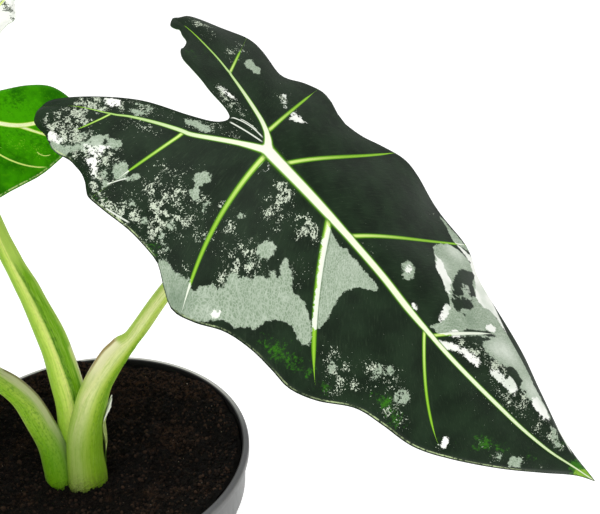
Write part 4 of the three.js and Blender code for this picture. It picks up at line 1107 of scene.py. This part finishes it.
def stalkSpots(stalk, path, shares, turns, lift=0):
    # places on the stalk's skin, or so far off it: an oval section with the sheath's edge on it
    length = path[1][-1]
    shares = np.asarray(shares, float)
    reached = shares * length
    step = 0.3
    centre = pointAt(path, reached)
    along = pointAt(path, np.minimum(reached + step, length)) - pointAt(path, np.maximum(reached - step, 0))
    along /= np.linalg.norm(along, axis=1)[:, None]
    sideways = np.array(stalk["wide"], float)
    wide = sideways - along * (along @ sideways)[:, None]
    wide /= np.linalg.norm(wide, axis=1)[:, None]
    deep = np.cross(along, wide)
    marks = np.array(stalk["sections"])
    nextMark = np.clip(np.searchsorted(marks[:, 0], shares), 1, len(marks) - 1)
    low, high = marks[nextMark - 1], marks[nextMark]
    between = smoothStep(shares, low[:, 0], high[:, 0])[:, None]
    _, halfWidth, halfDepth, sheath = (low + (high - low) * between).T
    turns = np.asarray(turns, float)
    edge = np.maximum(0, stalk["sheathSide"] * np.cos(turns)) ** 3
    across = (halfWidth[:, None] + lift) * np.cos(turns) + stalk["sheathSide"] * sheath[:, None] * edge
    deepness = (halfDepth[:, None] + lift) * np.sin(turns)
    return centre[:, None] + wide[:, None] * across[..., None] + deep[:, None] * deepness[..., None]


def makeStalk(stalk, material):
    path = stalkPath(stalk)
    around, steps = stalkForm["around"], stalkForm["steps"]
    shares = np.linspace(stalkForm["lowest"], stalkForm["highest"], steps)
    turns = np.linspace(0, 2 * math.pi, around + 1)
    fibres = 0.06 * np.sin(turns * 16)[None] + 0.04 * np.sin(turns * 27 + 1)[None]
    ripple = fibres * (1 + 0.5 * np.sin(shares * 40))[:, None]
    places = stalkSpots(stalk, path, shares, turns, ripple)
    grid = layGrid(stalk["name"], around + 1, steps, places.reshape(-1, 3))
    putAttribute(grid, "stalkPlace", np.column_stack([
        np.tile(np.cos(turns), steps), np.tile(np.sin(turns), steps), np.repeat(shares, around + 1)]))
    weld(grid, 0.01)
    closeHoles(grid)
    finishPiece(grid, material, "stalk_skin", stalk["node"], smoothAngle=50)


def stalkMaterial(name, look):
    skin = Skin(name, 0.42, 0.18)
    across, facing, share = skin.parts(skin.read("stalkPlace", "Vector"))

    def strands(around, up, detail=2, roughness=0.5):
        return skin.noise(skin.vector(across * around, facing * around, share * up), 1, detail, roughness)

    streaks = strands(9, 14, detail=4, roughness=0.65)
    fine = strands(26, 30)
    dots = strands(7, 110)
    spots = skin.noise(skin.place(), 0.8, detail=3, roughness=0.7)
    shifted = across + (streaks - 0.5) * look["wander"]
    color = colorBands(shifted * 0.5 + 0.5, look["bands"])
    color = blend(ease(facing, 0.1, 0.5) * 0.8, color, look["back"])
    color = blend(ease(streaks, 0.52, 0.36) * 0.4, color, look["strand"])
    left, right = look["stripe"]
    stripe = ease(across, left - 0.12, left) * ease(across, right + 0.12, right)
    color = blend((stripe * 0.42 + 0.12) * ease(dots, 0.48, 0.64), color, look["speck"])
    color = blend(ease(fine, 0.45, 0.7) * 0.3, color, look["fibre"])

    # the sheath's papery brim, the stalk above the sheath, its base and the earth on its foot
    brimSide, brimLow, brimHigh = look["brimAt"]
    outward = across * brimSide
    brim = ease(share, brimLow, brimLow + 0.08) * ease(share, brimHigh, brimHigh - 0.012)
    color = blend(brim * ease(outward, look["brimFrom"], 0.92), color, look["brim"])
    color = blend(brim * ease(outward, 0.94, 0.99), color, look["brimEdge"])
    upperFrom, upperTone = look["upper"]
    upper = ease(across, 0.1, 0.3) * ease(share, upperFrom, upperFrom + 0.06)
    color = blend(upper * 0.85, color, upperTone)
    base = ease(share, look["baseTop"], look["baseTop"] - 0.16) * (streaks * 0.9 + 0.25)
    color = blend(base, color, look["base"])
    color = blend(ease(share, 0.13, 0.095) * ease(spots, 0.4, 0.6) * 0.5, color, look["foot"])
    skin.bump(fine + streaks, 0.12)
    return skin.paintWith(color)


# bands are colours from the stalk's left edge to its right, seen from the front, and the stripe lies
# between two places across it, from -1 to 1; the brim is at (its side, from and to which share of
# the stalk), and upper is (from which share, the tone)
frontStalkLook = {
    "bands": [
        (0.02, paint(164, 192, 80)), (0.14, paint(218, 222, 152)), (0.3, paint(222, 230, 156)),
        (0.5, paint(190, 214, 92)), (0.64, paint(150, 188, 40)), (0.84, paint(104, 160, 4)),
        (0.97, paint(158, 198, 68))],
    "wander": 0.3, "stripe": (0.25, 0.8), "baseTop": 0.32, "brimAt": (-1, 0.3, 0.45), "brimFrom": 0.55,
    "speck": paint(84, 138, 4), "fibre": paint(206, 222, 120), "strand": paint(134, 180, 32),
    "back": paint(150, 190, 60), "base": paint(118, 158, 26), "foot": paint(96, 100, 52),
    "brim": paint(228, 226, 178), "brimEdge": paint(150, 134, 82), "upper": (0.46, paint(186, 208, 96)),
}

backStalkLook = {
    "bands": [
        (0.02, paint(168, 208, 70)), (0.2, paint(160, 206, 50)), (0.42, paint(214, 238, 106)),
        (0.58, paint(230, 240, 134)), (0.63, paint(190, 214, 92)), (0.67, paint(80, 134, 2)),
        (0.82, paint(112, 166, 8)), (0.94, paint(104, 162, 4)), (1, paint(176, 208, 90))],
    "wander": 0.16, "stripe": (0.32, 0.5), "baseTop": 0.26, "brimAt": (1, 0.16, 0.42), "brimFrom": 0.86,
    "speck": paint(40, 92, 0), "fibre": paint(206, 230, 108), "strand": paint(140, 196, 30),
    "back": paint(150, 190, 60), "base": paint(112, 166, 22), "foot": paint(96, 110, 50),
    "brim": paint(196, 220, 116), "brimEdge": paint(222, 228, 168), "upper": (0.6, paint(186, 216, 92)),
}

lowStalkLook = {
    "bands": [
        (0.02, paint(182, 208, 100)), (0.14, paint(144, 194, 30)), (0.42, paint(134, 184, 22)),
        (0.62, paint(160, 196, 56)), (0.78, paint(150, 182, 66)), (0.9, paint(186, 196, 128)),
        (0.98, paint(214, 214, 170))],
    "wander": 0.34, "stripe": (-0.8, 0.5), "baseTop": 0.34, "brimAt": (1, 0.24, 0.5), "brimFrom": 0.6,
    "speck": paint(72, 128, 2), "fibre": paint(184, 208, 104), "strand": paint(96, 152, 8),
    "back": paint(140, 184, 50), "base": paint(88, 148, 4), "foot": paint(80, 110, 30),
    "brim": paint(196, 200, 150), "brimEdge": paint(140, 134, 84), "upper": (0.5, paint(150, 190, 60)),
}

for stalk, look in ((frontStalk, frontStalkLook), (backStalk, backStalkLook), (lowStalk, lowStalkLook)):
    makeStalk(stalk, stalkMaterial(stalk["name"] + "Skin", look))

potForm = {
    "height": 105, "rim": 60, "lip": 3.6, "wallTop": 58.6, "wallFoot": 44, "foot": 43, "wall": 1.2,
    "collar": 58, "collarFoot": 86, "disc": 14, "ring": 38, "underside": 2.5, "floor": 3.8, "around": 160,
    "holes": 8, "holeRadius": 4, "holeCircle": 27,
}


def innerRadius(z):
    form = potForm
    share = (z - form["floor"]) / (form["height"] - form["lip"] - form["floor"])
    return form["wallFoot"] - form["wall"] + (form["wallTop"] - form["wallFoot"]) * min(share, 1)


def potProfile():
    # (radius, height) from the middle of the underside, out and up the wall, over the lip and down inside
    form = potForm
    height, rim, disc, ring, foot = (form[name] for name in ("height", "rim", "disc", "ring", "foot"))
    floor = form["floor"]
    wallTop, wallFoot, collar, collarFoot = (
        form[name] for name in ("wallTop", "wallFoot", "collar", "collarFoot"))
    lipFoot = height - form["lip"]
    inner = innerRadius(height)
    return [
        (disc, 0), (disc + 1.2, 0.4), (disc + 2, form["underside"]), (ring - 1, form["underside"]),
        (ring - 0.4, 0.4), (ring, 0), (foot, 0), (foot + 0.7, 0.4), (wallFoot, 1.2), (wallFoot + 5, 35),
        (wallTop - 4.6, 70), (innerRadius(collarFoot) + form["wall"], collarFoot),
        (collar - 0.3, collarFoot + 0.15), (collar, collarFoot + 0.6),
        (wallTop - 0.1, lipFoot - 0.4), (wallTop + 0.2, lipFoot), (rim - 0.5, lipFoot),
        (rim - 0.1, lipFoot + 0.2), (rim, lipFoot + 0.7), (rim, height - 1), (rim - 0.15, height - 0.45),
        (rim - 0.5, height - 0.12), (rim - 1, height), (inner + 0.7, height), (inner + 0.2, height - 0.2),
        (inner, height - 0.7), (innerRadius(lipFoot), lipFoot), (innerRadius(60), 60),
        (innerRadius(floor) + 0.1, floor + 1.2), (innerRadius(floor) - 1, floor)]


def makePot(material):
    form = potForm
    profile = potProfile()
    bpy.ops.object.select_all(action="DESELECT")
    radius, z = profile[0]
    bpy.ops.mesh.primitive_circle_add(vertices=form["around"], radius=radius * mm, fill_type="NGON",
                                      location=(0, 0, z * mm))
    pot = nameIt(bpy.context.object, "nurseryPot")
    bpy.ops.object.transform_apply(location=True, rotation=True, scale=True)
    bpy.ops.object.mode_set(mode="EDIT")
    bpy.ops.mesh.select_all(action="SELECT")
    for nextRadius, nextZ in profile[1:]:
        bpy.ops.mesh.extrude_region_move(TRANSFORM_OT_translate={"value": (0, 0, (nextZ - z) * mm)})
        share = nextRadius / radius
        bpy.ops.transform.resize(value=(share, share, 1), center_override=(0, 0, nextZ * mm))
        radius, z = nextRadius, nextZ
    bpy.ops.object.mode_set(mode="OBJECT")
    editWhole(pot, facingOut)

    drills = []
    circle = form["holeCircle"] * mm
    for i in range(form["holes"]):
        angle = (i + 0.5) / form["holes"] * 2 * math.pi
        spot = (circle * math.cos(angle), circle * math.sin(angle), 3 * mm)
        bpy.ops.mesh.primitive_cylinder_add(vertices=32, radius=form["holeRadius"] * mm, depth=14 * mm,
                                            location=spot)
        drills.append(bpy.context.object)
    selectOnly(*drills)
    bpy.ops.object.join()
    drill = bpy.context.object
    applyModifier(pot, "BOOLEAN", object=drill, operation="DIFFERENCE", solver="EXACT")
    bpy.data.objects.remove(drill)
    finishPiece(pot, material, "pot_plastic", "pot", smoothAngle=32)


# the inside tone is painted shade on the pot's shadowed inner wall; the lip's front and back tones are
# painted shade and painted light on the lip's top
potLook = {
    "dark": paint(86, 87, 86), "light": paint(98, 98, 97), "scuff": paint(128, 129, 126),
    "inside": paint(24, 24, 25), "lipShadedFront": paint(90, 90, 93), "lipLitBack": paint(214, 213, 207),
    "dust": paint(70, 58, 48), "lipFrom": 58,
}


def potMaterial():
    form, look = potForm, potLook
    skin = Skin("greyPotPlastic", specular=0.45)
    place = skin.place()
    x, y, z = skin.parts(place)
    cloud = skin.noise(place, 30, detail=3)
    grain = skin.noise(place, 0.7, detail=3, roughness=0.7)
    scuffs = skin.noise(skin.place(up=0.2), 3, detail=4, roughness=0.7)
    color = blend(ease(cloud, 0.3, 0.7), look["dark"], look["light"])
    color = blend(ease(scuffs, 0.62, 0.72) * 0.35, color, look["scuff"])

    # painted shade darkens the inside, painted light and shade make the lip's top lighter at the back and
    # darker at the front, and dust lies near the top
    radius = maths("SQRT", x * x + y * y)
    slope = (innerRadius(60) - innerRadius(0)) / 60
    innerFace = maths("MINIMUM", z * slope + innerRadius(0), innerRadius(form["height"]))
    # painted shade: the inner wall is darkened to near-black above the lowest few mm
    inside = ease(radius - innerFace, 0.8, 0.3) * ease(z, form["floor"] + 2.2, form["floor"] + 6.2)
    color = blend(inside, color, look["inside"])
    # painted light and shade: the outer part of the lip's top is lighter towards the back and darker towards
    # the front
    lipFace = ease(radius, look["lipFrom"], look["lipFrom"] + 0.4)
    lipFace = lipFace * ease(z, form["height"] - 0.4, form["height"] - 0.15)
    lipLightAndShade = blend(ease(y, 5, 52), look["lipShadedFront"], look["lipLitBack"])
    color = blend(lipFace, color, lipLightAndShade)
    dust = ease(grain, 0.6, 0.66) * ease(z, form["height"] - 9, form["height"] - 1)
    color = blend(dust * 0.5, color, look["dust"])
    skin.put("Roughness", scuffs * 0.3 + 0.22)
    skin.bump(grain + scuffs * 0.5, 0.03)
    return skin.paintWith(color)


makePot(potMaterial())

peatForm = {
    "level": 99.5, "edge": 99, "wallTop": 96, "bottom": 4.2, "gap": 0.35, "roll": 1.5, "crumbWave": 0.7,
    "rise": 3.6, "riseFrom": 30, "backRise": 1.5, "edgeDip": 0.6, "looseLevel": 98,
    "lumps": ((7, 1.4), (2.6, 1), (1.1, 0.7)), "around": 190, "rings": 100,
    "crumbs": 9600, "crumbSizes": (0.28, 0.95), "crumbLift": 0.2,
    "flecks": 150, "fleckSizes": (0.12, 0.26), "fleckLift": 1.2,
    "fibres": 1100, "fibreSteps": 7, "fibreLengths": (2, 8), "fibreRadii": (0.05, 0.11), "seed": 7,
}


def peatHeight(x, y):
    form = peatForm
    rolls = form["roll"] * np.sin(x / 13 + 0.6) * np.cos(y / 15 - 0.4)
    rolls += form["rise"] * smoothStep(np.hypot(x, y), form["riseFrom"], innerRadius(form["edge"]))
    rolls += form["backRise"] * smoothStep(y, 5, innerRadius(form["edge"]))
    base = form["level"] + rolls + form["crumbWave"] * np.sin(x / 3.7 + y / 6.1) * np.cos(y / 4.3 - x / 7.9)
    lumps = np.zeros(len(x))
    for size, depth in form["lumps"]:
        lumps += depth * np.array([noise.noise(Vector((px / size, py / size, size))) for px, py in zip(x, y)])
    return base + lumps


def makePeat(material):
    form = peatForm
    outer = innerRadius(form["edge"]) - form["gap"]
    radii = outer * np.linspace(1, 0.01, form["rings"]) ** 0.75
    turns = np.linspace(0, 2 * math.pi, form["around"] + 1)
    x = np.outer(radii, np.cos(turns)).ravel()
    y = np.outer(radii, np.sin(turns)).ravel()
    top = peatHeight(x, y) - form["edgeDip"] * smoothStep(np.hypot(x, y), outer - 3, outer)
    low = innerRadius(form["bottom"]) - form["gap"]
    rows = []
    for share in (0, 0.33, 0.66, 1):
        r = low + (outer - low) * share
        z = form["bottom"] + (form["wallTop"] - form["bottom"]) * share
        rows.append(np.column_stack([r * np.cos(turns), r * np.sin(turns), np.full(len(turns), z)]))
    places = np.vstack([*rows, np.column_stack([x, y, top])])
    peat = layGrid("peatBed", form["around"] + 1, form["rings"] + len(rows), places)
    weld(peat, 0.01)
    closeHoles(peat)
    finishPiece(peat, material, "peat", "soil", smoothAngle=70)


def turnMatrices(random, count):
    # even random turns, as rotation matrices
    w, x, y, z = random.normal(size=(count, 4)).T
    size = np.sqrt(w * w + x * x + y * y + z * z)
    w, x, y, z = w / size, x / size, y / size, z / size
    return np.stack([
        np.stack([1 - 2 * (y * y + z * z), 2 * (x * y - z * w), 2 * (x * z + y * w)], -1),
        np.stack([2 * (x * y + z * w), 1 - 2 * (x * x + z * z), 2 * (y * z - x * w)], -1),
        np.stack([2 * (x * z - y * w), 2 * (y * z + x * w), 1 - 2 * (x * x + y * y)], -1)], 1)


def scatterOnPeat(random, count):
    wall = innerRadius(peatForm["looseLevel"])
    radius = (wall - 1.6) * np.sqrt(random.uniform(0, 1, count))
    angle = random.uniform(0, 2 * math.pi, count)
    x, y = radius * np.cos(angle), radius * np.sin(angle)
    return x, y, peatHeight(x, y) - peatForm["edgeDip"] * smoothStep(radius, wall - 4, wall)


def makeCrumbs(name, kind, material, random):
    # one lump, repeated with the Array modifier, then each copy is sized, turned and set on the peat,
    # lifted by a share of its size
    count, sizes = peatForm[kind + "s"], peatForm[kind + "Sizes"]
    bpy.ops.object.select_all(action="DESELECT")
    bpy.ops.mesh.primitive_ico_sphere_add(subdivisions=1, radius=1)
    lump = nameIt(bpy.context.object, name)
    applyModifier(lump, "ARRAY", count=count, use_relative_offset=False, use_constant_offset=True,
                  constant_offset_displace=(3, 0, 0), use_merge_vertices=False)
    corners = len(lump.data.vertices) // count
    shape = getVertices(lump).reshape(count, corners, 3)[0] * mm
    x, y, z = scatterOnPeat(random, count)
    size = np.exp(random.uniform(np.log(sizes[0]), np.log(sizes[1]), count))
    stretch = random.uniform(0.55, 1.25, (count, 1, 3))
    rough = random.uniform(0.75, 1.2, (count, corners, 1))
    turned = np.einsum("nij,nkj->nki", turnMatrices(random, count), shape[None] * stretch * rough)
    centre = np.column_stack([x, y, z + size * peatForm[kind + "Lift"]])[:, None]
    putVertices(lump, (turned * size[:, None, None] + centre).reshape(-1, 3))
    putAttribute(lump, "tone", np.repeat(random.uniform(0, 1, count) ** 5, corners))
    finishPiece(lump, material, "peat", smoothAngle=70)


def makeFibres(material, random):
    # thin curved threads of peat moss, each a three-sided tube
    form = peatForm
    count, stations = form["fibres"], form["fibreSteps"]
    x, y, _ = scatterOnPeat(random, count)
    heading = random.uniform(0, 2 * math.pi, count)
    bend = random.normal(0, 0.5, count)
    length = random.uniform(*form["fibreLengths"], count)
    radius = random.uniform(*form["fibreRadii"], count)
    wall = innerRadius(form["looseLevel"]) - 1
    places = []
    for station in range(stations):
        share = station / (stations - 1) - 0.5
        angle = heading + bend * share * 2
        alongX, alongY = np.cos(angle), np.sin(angle)
        midX, midY = x + alongX * length * share, y + alongY * length * share
        inside = np.minimum(1, wall / np.maximum(np.hypot(midX, midY), 1))
        midX, midY = midX * inside, midY * inside
        midZ = peatHeight(midX, midY) + 0.25 + 0.9 * (0.25 - share * share)
        thin = radius * (1 - abs(share) * 1.2)
        for corner in range(4):
            turn = corner * 2 * math.pi / 3
            aside = np.cos(turn) * thin
            places.append(np.column_stack([
                midX - alongY * aside, midY + alongX * aside, midZ + np.sin(turn) * thin]))
    places = np.array(places).transpose(1, 0, 2).reshape(-1, 3)
    thread = layGrid("peatFibres", 4, stations * count, places)
    # the grid also joins each fibre's end to the next one's start: those faces go
    selectOnly(thread)
    for polygon in thread.data.polygons:
        polygon.select = (polygon.index // 3) % stations == stations - 1
    bpy.ops.object.mode_set(mode="EDIT")
    bpy.ops.mesh.select_mode(type="FACE")
    bpy.ops.mesh.delete(type="ONLY_FACE")
    bpy.ops.object.mode_set(mode="OBJECT")
    weld(thread, 0.002)
    closeHoles(thread)
    finishPiece(thread, material, "peat", smoothAngle=180)


# each material's dark, brown and rust tones
peatLook = {
    "peatGround": (paint(6, 5, 4), paint(17, 14, 11), paint(60, 40, 25)),
    "peatCrumb": (paint(7, 6, 5), paint(22, 18, 14), paint(66, 49, 38)),
    "peatFleck": (paint(76, 60, 50), paint(130, 108, 90), paint(190, 176, 160)),
    "peatThread": (paint(24, 19, 15), paint(54, 42, 34), paint(92, 66, 50)),
}


def peatMaterial(name, toned=False):
    skin = Skin(name, 0.9, 0.15)
    dark, brown, rust = peatLook[name]
    place = skin.place()
    _, y, _ = skin.parts(place)
    clump = skin.noise(place, 12, detail=3)
    bits = skin.noise(place, 1.6, detail=4, roughness=0.7)
    color = blend(ease(bits, 0.4, 0.68), dark, brown)
    rusty = ease(clump + ease(y, 12, 45) * 0.2, 0.54, 0.7) * ease(bits, 0.45, 0.6)
    color = blend(rusty * 0.8, color, rust)
    if toned:
        color = blend(skin.read("tone"), color, rust)
    skin.bump(skin.noise(place, 0.8, detail=4, roughness=0.7), 0.5)
    return skin.paintWith(color)


random = np.random.default_rng(peatForm["seed"])
makePeat(peatMaterial("peatGround"))
makeCrumbs("peatCrumbs", "crumb", peatMaterial("peatCrumb", toned=True), random)
makeCrumbs("peatFlecks", "fleck", peatMaterial("peatFleck", toned=True), random)
makeFibres(peatMaterial("peatThread"), random)

def barkMaterial():
    skin = Skin("cormBark", 0.8, 0.2)
    rings = skin.noise(skin.place(0.3, 0.3, 1.5), 1.5, detail=4, roughness=0.7)
    skin.bump(rings, 0.6)
    return skin.paintWith(blend(ease(rings, 0.4, 0.62), paint(74, 52, 34), paint(140, 112, 76)))


# the corm keeps its CAD solid and gets a bark
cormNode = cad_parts["corm"]
cormNode.data.materials.clear()
cormNode.data.materials.append(barkMaterial())

# the scrap lies around the front stalk: its foot and top are shares of the stalk's length, from, to
# and narrow are degrees around it, and the rest is in mm
scrapForm = {
    "foot": 0.13, "top": 0.29, "from": -34, "to": 40, "narrow": 30,
    "lean": 1.1, "belly": 1.1, "gap": 0.25, "thickness": 0.4, "columns": 34, "rows": 60,
}


def makeScrap(material):
    form = scrapForm
    path = stalkPath(frontStalk)
    across = np.linspace(0, 1, form["columns"])
    up = np.linspace(0, 1, form["rows"])
    ragged = 0.006 * np.sin(across * 29 + 1) + 0.008 * np.sin(across * 13) + 0.004 * np.sin(across * 61)
    tall = form["top"] - 0.16 * (across - 0.45) ** 2 + ragged
    places = []
    for row in up:
        shares = form["foot"] + (tall - form["foot"]) * row
        inward = form["narrow"] * (1 - row)
        turns = np.radians(form["from"] + inward + (form["to"] - form["from"] - 2 * inward) * across)
        belly = form["belly"] * math.sin(math.pi * min(1, row * 1.35)) ** 2
        lift = form["gap"] + form["lean"] * row ** 8 + belly + 0.15 * np.sin(across * 22) * row
        spots = stalkSpots(frontStalk, path, shares, turns[:, None], lift[:, None])
        places.append(spots[:, 0])
    scrap = layGrid("sheathScrap", form["columns"], form["rows"], np.vstack(places))
    putAttribute(scrap, "scrapPlace", np.column_stack([
        np.tile(across, len(up)), np.repeat(up, len(across)), np.zeros(len(up) * len(across))]))
    applyModifier(scrap, "SOLIDIFY", thickness=form["thickness"] * mm, offset=0)
    weld(scrap, 0.001)
    finishPiece(scrap, material, "dry_sheath", "old_sheath", smoothAngle=60)


# the foot tone is painted shadow, where the scrap's lower part lies close against the stalk
scrapLook = {
    "dull": paint(150, 166, 84), "fresh": paint(190, 206, 130), "top": paint(240, 242, 228),
    "foot": paint(58, 82, 16),
}


def scrapMaterial():
    look = scrapLook
    skin = Skin("drySheath", 0.6, 0.25)
    across, up, _ = skin.parts(skin.read("scrapPlace", "Vector"))
    streaks = skin.noise(skin.vector(across * 30, up * 5), 1, detail=4)
    color = blend(ease(streaks, 0.4, 0.65), look["dull"], look["fresh"])
    color = blend(ease(up, 0.82, 0.93), color, look["top"])
    # painted shadow: the lower part of the scrap, close against the stalk, turns dark green
    color = blend(ease(up, 0.35, 0.2), color, look["foot"])
    skin.bump(streaks, 0.25)
    return skin.paintWith(color)


makeScrap(scrapMaterial())

studio = {
    "floorSize": 12, "floorTone": (0.92, 0.92, 0.92, 1), "floorGlow": 0.45, "sky": 0.62,
    "lights": [("keyLight", (-0.5, -0.5, 1.5), 1.4, 14), ("sideLight", (1.3, -0.9, 0.9), 0.9, 4)],
    "lookAt": (0, 0, 0.18),
}


def setStudio():
    scene = bpy.context.scene
    bpy.ops.mesh.primitive_plane_add(size=studio["floorSize"], location=(0, 0, -0.0005))
    floor = nameIt(bpy.context.object, "floor")
    skin = Skin("paleFloor", 0.9, 0.1)
    skin.put("Emission Color", studio["floorTone"])
    skin.put("Emission Strength", studio["floorGlow"])
    floor.data.materials.append(skin.paintWith(studio["floorTone"]))
    world = bpy.data.worlds.new("paleRoom")
    world.use_nodes = True
    background = world.node_tree.nodes["Background"]
    background.inputs["Color"].default_value = (1, 1, 1, 1)
    background.inputs["Strength"].default_value = studio["sky"]
    scene.world = world
    for name, spot, size, power in studio["lights"]:
        bpy.ops.object.light_add(type="AREA", location=spot)
        light = bpy.context.object
        light.name = name
        light.data.size = size
        light.data.energy = power
        aim = Vector(studio["lookAt"]) - Vector(spot)
        light.rotation_euler = aim.to_track_quat("-Z", "Y").to_euler()
    bpy.ops.object.camera_add(location=[c * mm for c in camera["place"]],
                              rotation=(math.radians(90 - camera["pitch"]), 0, 0))
    cameraObject = bpy.context.object
    cameraObject.data.lens = camera["lens"]
    cameraObject.data.sensor_width = camera["sensor"]
    cameraObject.data.clip_start = 0.01
    cameraObject.data.clip_end = 50
    scene.camera = cameraObject
    scene.view_settings.view_transform = "Standard"


setStudio()
print("scene ready")
